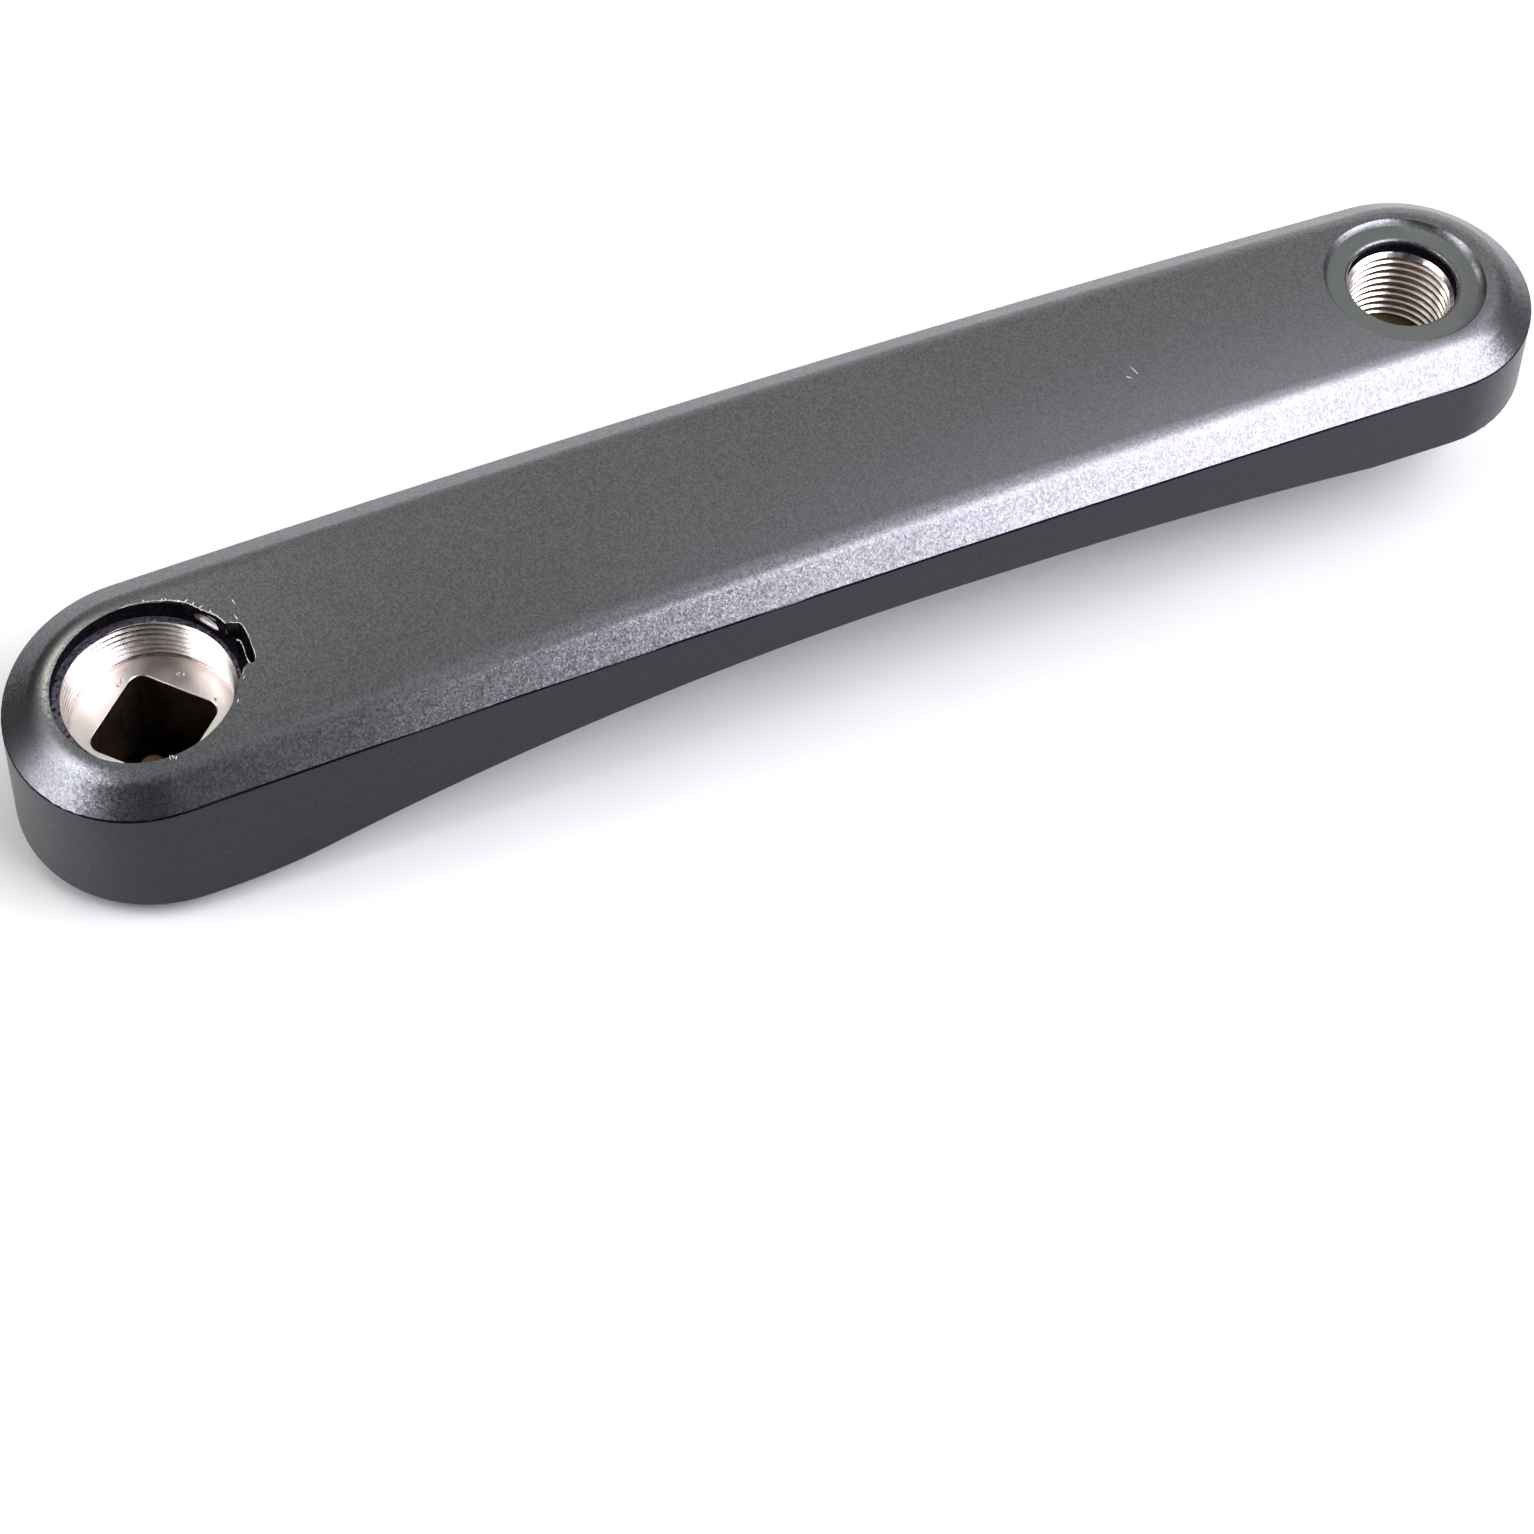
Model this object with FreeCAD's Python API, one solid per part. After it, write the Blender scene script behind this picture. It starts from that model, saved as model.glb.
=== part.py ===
import FreeCAD, Part
import math
import os

from FreeCAD import Vector, Placement, Rotation

# Bicycle crank arm, left side: one forged aluminium piece.
# Millimetres. The spindle axis is Z, +X runs along the arm to the pedal axis,
# the outer face looks up, and Z = 0 is the machined seat round the spindle socket.

# Outline, taken level with the bevel's lower edge at the spindle end
CRANK_LENGTH = 170.0        # spindle axis to pedal axis
AXLE_END_RADIUS = 17.8
PEDAL_END_RADIUS = 16.85
PEDAL_END_SHIFT = 1.0       # the pedal end's centre lies this far past the pedal axis
DRAFT = 2.8                 # degrees, the side walls widen downwards

# Outer face: a shallow crown with a wide bevel all round. It climbs from the
# spindle to the pedal and is arched along the arm
CREASE_HEIGHT_AXLE = 20.9   # the bevel's lower edge at the spindle axis
CREASE_HEIGHT_PEDAL = 26.7  # and at the pedal end's centre
ARCH_RISE = 1.65            # rise of the arch over its chord
BEVEL_WIDTH_AXLE = 4.7      # plan width of the bevel
BEVEL_WIDTH_PEDAL = 4.3
BEVEL_RISE_AXLE = 3.0       # its height
BEVEL_RISE_PEDAL = 3.5
CROWN_RISE = 0.45           # rise of the crown between the bevels
CROWN_BLEND = 1.6           # reach of the soft turn from crown to bevel
CREASE_ROUND = 0.4          # radius along the bevel's lower edge

# Underside: a thick boss at the spindle, a slim waist, a thicker pedal end
BOSS_HEIGHT = 2.8           # the forged underside of the spindle boss
BOSS_SLOPE = 1.6            # degrees, it falls a little towards the tip
BOSS_TURN_START = 1.5       # place along the arm where it starts to turn up
BOSS_TURN_RADIUS = 57.0
WAIST_START = 101.5         # the slimmest stretch, from the spindle axis
WAIST_LENGTH = 11.0
WAIST_HEIGHT = 17.85        # height of the underside there
PEDAL_PAD_HEIGHT = 15.35    # height of the underside at the pedal
PEDAL_PAD_REACH = 11.0      # how far it runs back from the pedal axis
LOWER_EDGE_ROUND = 0.6

# Machined seat round the socket, against the bottom bracket
SEAT_RADIUS = 15.0
SEAT_CHAMFER = 0.5

# Spindle end: cap recess, extractor thread bore, square taper socket
CAP_RECESS_RADIUS = 11.55
CAP_RECESS_DEPTH = 2.35     # depths are below the outer face at the spindle axis
CAP_LEDGE_WIDTH = 1.09      # the thread's bore is this much smaller than the recess
EXTRACTOR_BORE_DEPTH = 9.4
SQUARE_SIZE = 12.25         # across flats at its outer, narrow end
SQUARE_TAPER = 2.0          # degrees a side, opening towards the back
SQUARE_CORNER = 1.8
SQUARE_TURN = 45.0          # the corners point along the arm
SQUARE_LEAD = 0.6           # lead-in chamfer at the back

# Pry notch in the rim of the cap recess, on the pedal's side
NOTCH_DEPTH = 1.6
NOTCH_WALL = 0.75           # lip left between the slot and the recess
NOTCH_WIDTH = 1.15
NOTCH_START = -11.8         # degrees round the spindle axis
NOTCH_MOUTH = 5.0
NOTCH_END = 19.5
NOTCH_CORNER = 0.35

# Pedal end: dished spot face, relief and pedal thread bore
SPOT_FACE_RADIUS = 9.9
SPOT_FACE_DEPTH = 0.4       # below the outer face's edge at the pedal end
DISH_RADIUS = 11.0          # its wall opens to this radius
DISH_SHIFT = 0.5            # round a centre this much nearer the tip
DISH_DEPTH = 0.8            # at this height above the spot face
PEDAL_BORE_RADIUS = 6.55
PEDAL_RELIEF_WIDTH = 0.65   # the relief over the thread is this much wider
PEDAL_RELIEF_DEPTH = 2.0
PEDAL_RIM_CHAMFER = 0.35
PEDAL_BORE_CHAMFER = 0.5    # at the thread's outer end
PEDAL_BACK_CHAMFER = 0.8    # and at its inner end

# Cutting solids run this far past the faces that they cut
OVERRUN = 6.0
SECTION_COUNT = 5
EDGE_SEARCH = 3.0           # edges are looked for this near to their place
EDGE_TOLERANCE = 0.01

END_CENTRE = CRANK_LENGTH + PEDAL_END_SHIFT
DRAFT_RATE = math.tan(math.radians(DRAFT))
# each long side is one wide arc that leaves the spindle end level and runs into
# the pedal end's round
END_STEP = AXLE_END_RADIUS - PEDAL_END_RADIUS
SIDE_RADIUS = (END_CENTRE ** 2 + AXLE_END_RADIUS ** 2 - PEDAL_END_RADIUS ** 2) / (2 * END_STEP)
SIDE_CENTRE = Vector(0, AXLE_END_RADIUS - SIDE_RADIUS, 0)
PEDAL_CREASE_RADIUS = PEDAL_END_RADIUS - (CREASE_HEIGHT_PEDAL - CREASE_HEIGHT_AXLE) * DRAFT_RATE
PEDAL_TANGENT = END_CENTRE * (1 + PEDAL_CREASE_RADIUS / (SIDE_RADIUS - PEDAL_END_RADIUS))

FACE_AXLE = CREASE_HEIGHT_AXLE + BEVEL_RISE_AXLE
FACE_PEDAL = CREASE_HEIGHT_PEDAL + BEVEL_RISE_PEDAL
SOCKET_FLOOR = FACE_AXLE - EXTRACTOR_BORE_DEPTH
SPOT_FACE_HEIGHT = FACE_PEDAL - SPOT_FACE_DEPTH

# the arch spans from the spindle end's round to the pedal end's round
CHORD = math.hypot(PEDAL_TANGENT, CREASE_HEIGHT_PEDAL - CREASE_HEIGHT_AXLE)
CLIMB = math.degrees(math.asin((CREASE_HEIGHT_PEDAL - CREASE_HEIGHT_AXLE) / CHORD))
ARCH_RADIUS = (CHORD ** 2 / 4 + ARCH_RISE ** 2) / (2 * ARCH_RISE)
ARCH_HALF_ANGLE = math.degrees(math.asin(CHORD / 2 / ARCH_RADIUS))
TOP_CLEAR = max(FACE_AXLE, FACE_PEDAL) + CROWN_RISE + ARCH_RISE + OVERRUN


def mix(axle_value, pedal_value, share):
    """Value at a share of the way from the spindle end to the pedal end."""
    return axle_value + (pedal_value - axle_value) * share


def station(share):
    """Placement of the cross-section at a share of the arm's length.

    Local X is across the arm and local Y is up, square to the arch.
    """
    start = Vector(0, 0, CREASE_HEIGHT_AXLE)
    lean = mix(-ARCH_HALF_ANGLE, ARCH_HALF_ANGLE, share) - CLIMB
    first = Rotation(Vector(0, 1, 0), -ARCH_HALF_ANGLE - CLIMB).multVec(Vector(0, 0, ARCH_RADIUS))
    spoke = Rotation(Vector(0, 1, 0), lean)
    turn = spoke * Rotation(Vector(1, 1, 1), 120)
    return Placement(start - first + spoke.multVec(Vector(0, 0, ARCH_RADIUS)), turn)


def half_width(share):
    """Half the width between the crease lines at a share of the length."""
    place = station(share).Base
    side = SIDE_CENTRE.y + math.sqrt(SIDE_RADIUS ** 2 - place.x ** 2)
    return side - (place.z - CREASE_HEIGHT_AXLE) * DRAFT_RATE


def outline(height):
    """Closed outline of the side walls at a height."""
    grow = (CREASE_HEIGHT_AXLE - height) * DRAFT_RATE
    axle_radius = AXLE_END_RADIUS + grow
    pedal_radius = PEDAL_END_RADIUS + grow
    centre = SIDE_CENTRE + Vector(0, 0, height)
    axle = Vector(0, 0, height)
    pedal = Vector(END_CENTRE, 0, height)
    axle_way = (axle - centre).normalize()
    pedal_way = (pedal - centre).normalize()
    middle = centre + (axle_way + pedal_way).normalize() * (SIDE_RADIUS + grow)
    start = axle + axle_way * axle_radius
    end = pedal + pedal_way * pedal_radius

    def mirrored(point):
        return Vector(point.x, -point.y, point.z)

    return Part.Wire([
        Part.Arc(end, middle, start).toShape(),
        Part.Arc(start, axle - Vector(axle_radius, 0, 0), mirrored(start)).toShape(),
        Part.Arc(mirrored(start), mirrored(middle), mirrored(end)).toShape(),
        Part.Arc(mirrored(end), pedal + Vector(pedal_radius, 0, 0), end).toShape(),
    ])


def drafted_walls():
    """The arm's outline standing up, wider at the bottom by the draft."""
    return Part.makeLoft([outline(0), outline(TOP_CLEAR)], True, True)


def soft_turn(start, corner, end):
    """A smooth edge from start to end, tangent to the lines through the corner."""
    curve = Part.BezierCurve()
    curve.setPoles([start, corner, end])
    return curve.toShape()


def half_roof(share):
    """Edges of half the outer face's cross-section, run on past the side wall."""
    half = half_width(share)
    rise = mix(BEVEL_RISE_AXLE, BEVEL_RISE_PEDAL, share)
    shoulder = Vector(half - mix(BEVEL_WIDTH_AXLE, BEVEL_WIDTH_PEDAL, share), rise, 0)
    bevel_way = (Vector(half, 0, 0) - shoulder).normalize()
    eaves = Vector(half, 0, 0) + bevel_way * OVERRUN
    foot = Vector(eaves.x, -CREASE_HEIGHT_PEDAL - OVERRUN, 0)

    crown_radius = (shoulder.x ** 2 + CROWN_RISE ** 2) / (2 * CROWN_RISE)
    crown_centre = Vector(0, rise + CROWN_RISE - crown_radius, 0)

    def on_crown(across):
        return Vector(across, crown_centre.y + math.sqrt(crown_radius ** 2 - across ** 2), 0)

    crown_end = on_crown(shoulder.x - CROWN_BLEND)
    crown_way = Vector(crown_end.y - crown_centre.y, -crown_end.x, 0).normalize()
    # the blend's middle pole is where the crown's tangent meets the bevel
    gap = shoulder - crown_end
    along = gap.x * bevel_way.y - gap.y * bevel_way.x
    along /= crown_way.x * bevel_way.y - crown_way.y * bevel_way.x
    pole = crown_end + crown_way * along
    bevel_start = shoulder + bevel_way * CROWN_BLEND
    return [
        Part.Arc(on_crown(0), on_crown(crown_end.x / 2), crown_end).toShape(),
        soft_turn(crown_end, pole, bevel_start),
        Part.makeLine(bevel_start, eaves),
        Part.makeLine(eaves, foot),
    ]


def roof_section(share):
    """Closed cross-section of everything under the outer face."""
    right = half_roof(share)
    left = [edge.mirror(Vector(0, 0, 0), Vector(1, 0, 0)) for edge in right]
    foot = right[-1].Vertexes[-1].Point
    base = Part.makeLine(foot, Vector(-foot.x, foot.y, 0))
    wire = Part.Wire(Part.__sortEdges__(right + [base] + left))
    wire.Placement = station(share)
    return wire


def roof_end(share):
    """The outer face turned about its upright at one end of the arm."""
    edges = half_roof(share)
    top = edges[0].Vertexes[0].Point
    foot = edges[-1].Vertexes[-1].Point
    edges.append(Part.makeLine(foot, Vector(0, foot.y, 0)))
    edges.append(Part.makeLine(Vector(0, foot.y, 0), top))
    face = Part.Face(Part.Wire(Part.__sortEdges__(edges)))
    sweep = 180.0 if share == 0 else -180.0
    end = face.revolve(Vector(0, 0, 0), Vector(0, 1, 0), sweep)
    end.Placement = station(share)
    return end


def roof():
    """Everything under the crowned and bevelled outer face."""
    shares = [index / (SECTION_COUNT - 1) for index in range(SECTION_COUNT)]
    bar = Part.makeLoft([roof_section(share) for share in shares], True, False)
    return bar.multiFuse([roof_end(0), roof_end(1)]).removeSplitter()


def underside_block():
    """Everything above the underside: its side view drawn across the arm."""
    reach = AXLE_END_RADIUS + OVERRUN
    tip = END_CENTRE + PEDAL_END_RADIUS + OVERRUN
    slope = math.radians(BOSS_SLOPE)
    boss = Vector(BOSS_TURN_START, 0, BOSS_HEIGHT)
    boss_end = Vector(-reach, 0, BOSS_HEIGHT - (reach + BOSS_TURN_START) * math.tan(slope))
    waist = Vector(WAIST_START, 0, WAIST_HEIGHT)
    waist_end = Vector(WAIST_START + WAIST_LENGTH, 0, WAIST_HEIGHT)
    pad = Vector(CRANK_LENGTH - PEDAL_PAD_REACH, 0, PEDAL_PAD_HEIGHT)

    # the hollow's arc springs level from the waist and meets the boss's turn
    turn_centre = boss + Vector(-math.sin(slope), 0, math.cos(slope)) * BOSS_TURN_RADIUS
    run = waist.x - turn_centre.x
    fall = waist.z - turn_centre.z
    hollow_radius = (run ** 2 + fall ** 2 - BOSS_TURN_RADIUS ** 2) / (2 * (fall + BOSS_TURN_RADIUS))
    hollow_centre = waist - Vector(0, 0, hollow_radius)
    way = (hollow_centre - turn_centre).normalize()
    lean = math.atan2(way.x, -way.z)
    turn_middle = below(turn_centre, BOSS_TURN_RADIUS, (slope + lean) / 2)
    meet = below(turn_centre, BOSS_TURN_RADIUS, lean)
    hollow_middle = below(hollow_centre, -hollow_radius, lean / 2)

    # the pad's arc leaves the waist level
    pad_run = pad.x - waist_end.x
    pad_fall = waist_end.z - pad.z
    pad_radius = (pad_run ** 2 + pad_fall ** 2) / (2 * pad_fall)
    pad_centre = waist_end - Vector(0, 0, pad_radius)
    pad_middle = below(pad_centre, -pad_radius, -math.asin(pad_run / pad_radius) / 2)

    corners = [Vector(tip, 0, pad.z), Vector(tip, 0, TOP_CLEAR),
               Vector(-reach, 0, TOP_CLEAR), boss_end]
    edges = [
        Part.makeLine(boss_end, boss),
        Part.Arc(boss, turn_middle, meet).toShape(),
        Part.Arc(meet, hollow_middle, waist).toShape(),
        Part.makeLine(waist, waist_end),
        Part.Arc(waist_end, pad_middle, pad).toShape(),
        Part.makeLine(pad, corners[0]),
    ]
    edges += [Part.makeLine(a, b) for a, b in zip(corners, corners[1:])]
    face = Part.Face(Part.Wire(Part.__sortEdges__(edges)))
    width = 2 * (AXLE_END_RADIUS + OVERRUN)
    face.translate(Vector(0, -width / 2, 0))
    return face.extrude(Vector(0, width, 0))


def below(centre, radius, lean):
    """Point of an arc, seen from its centre at a lean from straight down."""
    return centre + Vector(math.sin(lean), 0, -math.cos(lean)) * radius


def wall_gap(point):
    """Plan distance of a point from the drafted side walls."""
    grow = (CREASE_HEIGHT_AXLE - point.z) * DRAFT_RATE
    if point.x < 0:
        return abs(math.hypot(point.x, point.y) - AXLE_END_RADIUS - grow)
    if point.x > PEDAL_TANGENT:
        return abs(math.hypot(point.x - END_CENTRE, point.y) - PEDAL_END_RADIUS - grow)
    return abs(math.hypot(point.x, abs(point.y) - SIDE_CENTRE.y) - SIDE_RADIUS - grow)


def wall_edges(shape, upper):
    """Edges round the top or round the foot of the side walls."""
    found = []
    for edge in shape.Edges:
        middle = edge.valueAt((edge.FirstParameter + edge.LastParameter) / 2)
        ends = [vertex.Point for vertex in edge.Vertexes]
        crest = mix(CREASE_HEIGHT_AXLE, CREASE_HEIGHT_PEDAL, middle.x / END_CENTRE)
        level = middle.z > crest - EDGE_SEARCH
        if all(wall_gap(point) < EDGE_TOLERANCE for point in ends + [middle]) and level == upper:
            if edge.BoundBox.ZLength < EDGE_SEARCH + edge.BoundBox.XLength:
                found.append(edge)
    return found


def post(radius, low, high, x=0.0):
    """Upright round solid between two heights."""
    return Part.makeCylinder(radius, high - low, Vector(x, 0, low))


def cone(low_radius, high_radius, low, high, x=0.0):
    """Upright tapered round solid between two heights."""
    return Part.makeCone(low_radius, high_radius, high - low, Vector(x, 0, low))


def rounded_square(size, height):
    """Square wire with round corners at a height, turned to face the arm."""
    half = size / 2
    corners = [Vector(half, half, height), Vector(-half, half, height),
               Vector(-half, -half, height), Vector(half, -half, height)]
    edges = []
    for index, corner in enumerate(corners):
        before = (corners[index - 1] - corner).normalize() * SQUARE_CORNER
        after = (corners[(index + 1) % 4] - corner).normalize() * SQUARE_CORNER
        heart = corner + before + after
        middle = heart + (corner - heart).normalize() * SQUARE_CORNER
        edges.append(Part.Arc(corner + before, middle, corner + after).toShape())
        following = corners[(index + 1) % 4]
        edges.append(Part.makeLine(corner + after, following - after))
    wire = Part.Wire(edges)
    wire.rotate(Vector(0, 0, 0), Vector(0, 0, 1), SQUARE_TURN)
    return wire


def socket():
    """Square taper socket, widest at the back, with a short lead-in."""
    grow = 2 * math.tan(math.radians(SQUARE_TAPER))
    low = rounded_square(SQUARE_SIZE + grow * SOCKET_FLOOR, 0)
    high = rounded_square(SQUARE_SIZE, SOCKET_FLOOR)
    lead_low = rounded_square(SQUARE_SIZE + grow * SOCKET_FLOOR + 2 * SQUARE_LEAD, 0)
    lead_high = rounded_square(SQUARE_SIZE + grow * (SOCKET_FLOOR - SQUARE_LEAD), SQUARE_LEAD)
    taper = Part.makeLoft([low, high], True, True)
    lead = Part.makeLoft([lead_low, lead_high], True, True)
    return taper.fuse(lead)


def ring_sector(inner, outer, start, end, low, high):
    """Part of an upright ring between two angles."""
    def spot(radius, angle):
        turn = math.radians(angle)
        return Vector(radius * math.cos(turn), radius * math.sin(turn), low)

    middle = (start + end) / 2
    edges = [
        Part.Arc(spot(outer, start), spot(outer, middle), spot(outer, end)).toShape(),
        Part.makeLine(spot(outer, end), spot(inner, end)),
        Part.Arc(spot(inner, end), spot(inner, middle), spot(inner, start)).toShape(),
        Part.makeLine(spot(inner, start), spot(outer, start)),
    ]
    return Part.Face(Part.Wire(edges)).extrude(Vector(0, 0, high - low))


def pry_notch():
    """Slot beside the recess's rim, open to the recess at one end."""
    inner = CAP_RECESS_RADIUS + NOTCH_WALL
    outer = inner + NOTCH_WIDTH
    floor = FACE_AXLE - NOTCH_DEPTH
    slot = ring_sector(inner, outer, NOTCH_START, NOTCH_END, floor, TOP_CLEAR)
    mouth_inner = CAP_RECESS_RADIUS - NOTCH_WALL
    mouth = ring_sector(mouth_inner, outer, NOTCH_MOUTH, NOTCH_END, floor, TOP_CLEAR)
    notch = slot.fuse(mouth).removeSplitter()
    upright = [edge for edge in notch.Edges if is_upright(edge) and edge_radius(edge) > inner - NOTCH_WALL / 2]
    return notch.makeFillet(NOTCH_CORNER, upright)


def is_upright(edge):
    """True for a straight edge along Z."""
    first, last = edge.Vertexes[0].Point, edge.Vertexes[-1].Point
    return math.hypot(first.x - last.x, first.y - last.y) < 1e-6


def edge_radius(edge):
    """Distance of an upright edge from the spindle axis."""
    place = edge.Vertexes[0].Point
    return math.hypot(place.x, place.y)


def spindle_cuts():
    """Cap recess, extractor bore, socket and notch as one cutting solid."""
    recess = post(CAP_RECESS_RADIUS, FACE_AXLE - CAP_RECESS_DEPTH, TOP_CLEAR)
    bore = post(CAP_RECESS_RADIUS - CAP_LEDGE_WIDTH, SOCKET_FLOOR, TOP_CLEAR)
    return recess.multiFuse([bore, socket(), pry_notch()])


def pedal_cuts():
    """Dished spot face, relief and pedal bore as one cutting solid."""
    x = CRANK_LENGTH
    face = SPOT_FACE_HEIGHT
    relief_floor = face - PEDAL_RELIEF_DEPTH
    bore_mouth = PEDAL_BORE_RADIUS + PEDAL_BORE_CHAMFER
    back_mouth = PEDAL_BORE_RADIUS + PEDAL_BACK_CHAMFER
    relief = PEDAL_BORE_RADIUS + PEDAL_RELIEF_WIDTH
    return dish().multiFuse([
        post(relief, relief_floor, TOP_CLEAR, x),
        cone(relief, relief + PEDAL_RIM_CHAMFER, face - PEDAL_RIM_CHAMFER, face, x),
        cone(PEDAL_BORE_RADIUS, bore_mouth, relief_floor - PEDAL_BORE_CHAMFER, relief_floor, x),
        post(PEDAL_BORE_RADIUS, 0, TOP_CLEAR, x),
        cone(back_mouth, PEDAL_BORE_RADIUS, PEDAL_PAD_HEIGHT, PEDAL_PAD_HEIGHT + PEDAL_BACK_CHAMFER, x),
    ])


def dish():
    """The spot face's shallow dish: its wall leans out, mostly towards the tip."""
    grow = OVERRUN / DISH_DEPTH
    floor = Part.makeCircle(SPOT_FACE_RADIUS, Vector(CRANK_LENGTH, 0, SPOT_FACE_HEIGHT))
    brim_radius = SPOT_FACE_RADIUS + (DISH_RADIUS - SPOT_FACE_RADIUS) * grow
    brim_centre = Vector(CRANK_LENGTH + DISH_SHIFT * grow, 0, SPOT_FACE_HEIGHT + OVERRUN)
    brim = Part.makeCircle(brim_radius, brim_centre)
    return Part.makeLoft([Part.Wire(floor), Part.Wire(brim)], True, True)


def crank_arm():
    """The whole arm as one solid."""
    blank = drafted_walls().common(roof()).common(underside_block())
    blank = blank.makeFillet(CREASE_ROUND, wall_edges(blank, True))
    blank = blank.makeFillet(LOWER_EDGE_ROUND, wall_edges(blank, False))
    seat = post(SEAT_RADIUS, 0, BOSS_HEIGHT + OVERRUN)
    seat = seat.makeChamfer(SEAT_CHAMFER, [edge for edge in seat.Edges if edge.BoundBox.ZMax < SEAT_CHAMFER])
    arm = blank.fuse(seat).cut(spindle_cuts()).cut(pedal_cuts())
    return arm.removeSplitter().Solids[0]


def main():
    """Build the arm and write its file."""
    os.makedirs("parts", exist_ok=True)
    arm = crank_arm()
    print("valid", arm.isValid(), "volume", round(arm.Volume, 1), "faces", len(arm.Faces))
    arm.exportStep("parts/crank_arm.step")


main()
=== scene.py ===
"""Looks of the bicycle crank arm: one forged arm, painted outside and machined at both ends.

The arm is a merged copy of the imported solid. Cutters made with Blender's own tools carve what the
solid leaves out: both threads, the worn rims and the small marks. Sizes are in millimetres and
are turned to metres where a mesh is made; the studio's lights and camera are in metres.
"""

import logging
import math
import random
from dataclasses import dataclass
from enum import Enum
from typing import Any, Sequence

import bmesh
import bpy
from mathutils import Matrix, Vector


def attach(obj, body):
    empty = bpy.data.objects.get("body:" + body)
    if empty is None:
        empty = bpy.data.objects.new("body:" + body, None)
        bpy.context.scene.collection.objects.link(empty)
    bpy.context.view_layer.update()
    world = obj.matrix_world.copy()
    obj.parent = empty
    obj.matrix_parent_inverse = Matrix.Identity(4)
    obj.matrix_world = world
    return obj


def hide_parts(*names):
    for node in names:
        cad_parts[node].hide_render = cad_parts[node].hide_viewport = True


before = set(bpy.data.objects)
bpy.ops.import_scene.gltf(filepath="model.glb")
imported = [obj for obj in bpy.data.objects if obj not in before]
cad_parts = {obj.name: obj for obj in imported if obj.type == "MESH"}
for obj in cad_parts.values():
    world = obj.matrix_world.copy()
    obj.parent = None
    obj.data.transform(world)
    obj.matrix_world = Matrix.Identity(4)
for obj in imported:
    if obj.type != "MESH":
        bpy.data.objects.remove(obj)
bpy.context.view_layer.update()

MM = 0.001
UP = Vector((0.0, 0.0, 1.0))
LOG = logging.getLogger("crank_arm")

# How close two points are one, in metres.
MERGE = 1e-6
FINE_MERGE = 1e-7
# Segments round a turned or threaded piece.
TURN_STEPS = 128
# The ridge of a tap: angle of its flanks, its tip as a share of the pitch, and the turns that it
# has to spare below and above before it is cut to length.
FLANK_ANGLE = 30.0
TIP_SHARE = 1 / 8
TURNS_BELOW = 1.5
TURNS_ABOVE = 3
# Rings of a sliver, and of one that is big enough to show its facets.
SLIVER_RINGS = 8
LARGE_SLIVER_RINGS = 24
# A bead's step, how far its points stray sideways and upwards, and how much it swells and thins.
BEAD_STEP = 0.22
BEAD_STRAY = 0.04
BEAD_RISE = (-0.02, 0.06)
BEAD_SWELL = (0.35, 1.5)
# Where the values of a noise texture mostly lie.
NOISE_RANGE = (0.3, 0.7)

Piece = bpy.types.Object
Material = bpy.types.Material
Tree = bpy.types.NodeTree
Node = bpy.types.Node
Socket = bpy.types.NodeSocket
Row = tuple[float, ...]
Spot = tuple[float, float]
Colour = tuple[float, float, float, float]
Triple = tuple[float, float, float]


class Finish(Enum):
    """Material slots of the arm, in their order."""

    PAINT = 0
    # Side walls: the arm's paint made darker, as painted shade of the walls' dim reflection.
    SIDE_PAINT = 1
    # Black without reflection: the bores' dark paint darkened as painted shade, and painted shadow
    # in the worn gap, the bite and the blade.
    BLACK_WALL = 2
    LEDGE = 3
    MACHINED = 4
    FLOOR = 5
    SOCKET = 6
    SPOT_FACE = 7
    WORN = 8
    SEAT = 9
    # The crease: near-black paint, a painted dark reflection along the rounded edge.
    EDGE_PAINT = 10


def hold(piece: Piece) -> None:
    """Select one piece alone and make it active.

    Args:
        piece: the piece to hold.
    """
    bpy.ops.object.select_all(action="DESELECT")
    piece.select_set(True)
    bpy.context.view_layer.objects.active = piece


def apply_modifier(piece: Piece, kind: str, **settings: Any) -> None:
    """Put a modifier on a piece and apply it.

    Args:
        piece: the piece to change.
        kind: Blender's name of the modifier type.
        settings: values for the modifier.
    """
    hold(piece)
    bpy.ops.object.modifier_add(type=kind)
    modifier = piece.modifiers[-1]
    for name, value in settings.items():
        setattr(modifier, name, value)
    bpy.ops.object.modifier_apply(modifier=modifier.name)


def drawn_line(name: str, points: Sequence[Vector]) -> Piece:
    """Draw a line of edges from point to point.

    Args:
        name: name of the new piece.
        points: the line's points, in millimetres.

    Returns:
        The piece, left in edit mode with its last point selected.
    """
    bpy.ops.object.select_all(action="DESELECT")
    bpy.ops.mesh.primitive_plane_add(size=MM, location=points[0] * MM)
    piece = bpy.context.active_object
    piece.name = name
    bpy.ops.object.transform_apply(location=True)
    bpy.ops.object.mode_set(mode="EDIT")
    bpy.ops.mesh.select_all(action="SELECT")
    bpy.ops.mesh.merge(type="CENTER")
    for start, end in zip(points, points[1:]):
        step = {"value": (end - start) * MM}
        bpy.ops.mesh.extrude_region_move(TRANSFORM_OT_translate=step)
    return piece


def close_up(merge: float = MERGE) -> None:
    """Merge doubles and turn all faces outwards, then leave edit mode.

    Args:
        merge: how close two points are one, in metres.
    """
    bpy.ops.mesh.select_all(action="SELECT")
    bpy.ops.mesh.remove_doubles(threshold=merge)
    bpy.ops.mesh.normals_make_consistent(inside=False)
    bpy.ops.object.mode_set(mode="OBJECT")


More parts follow.
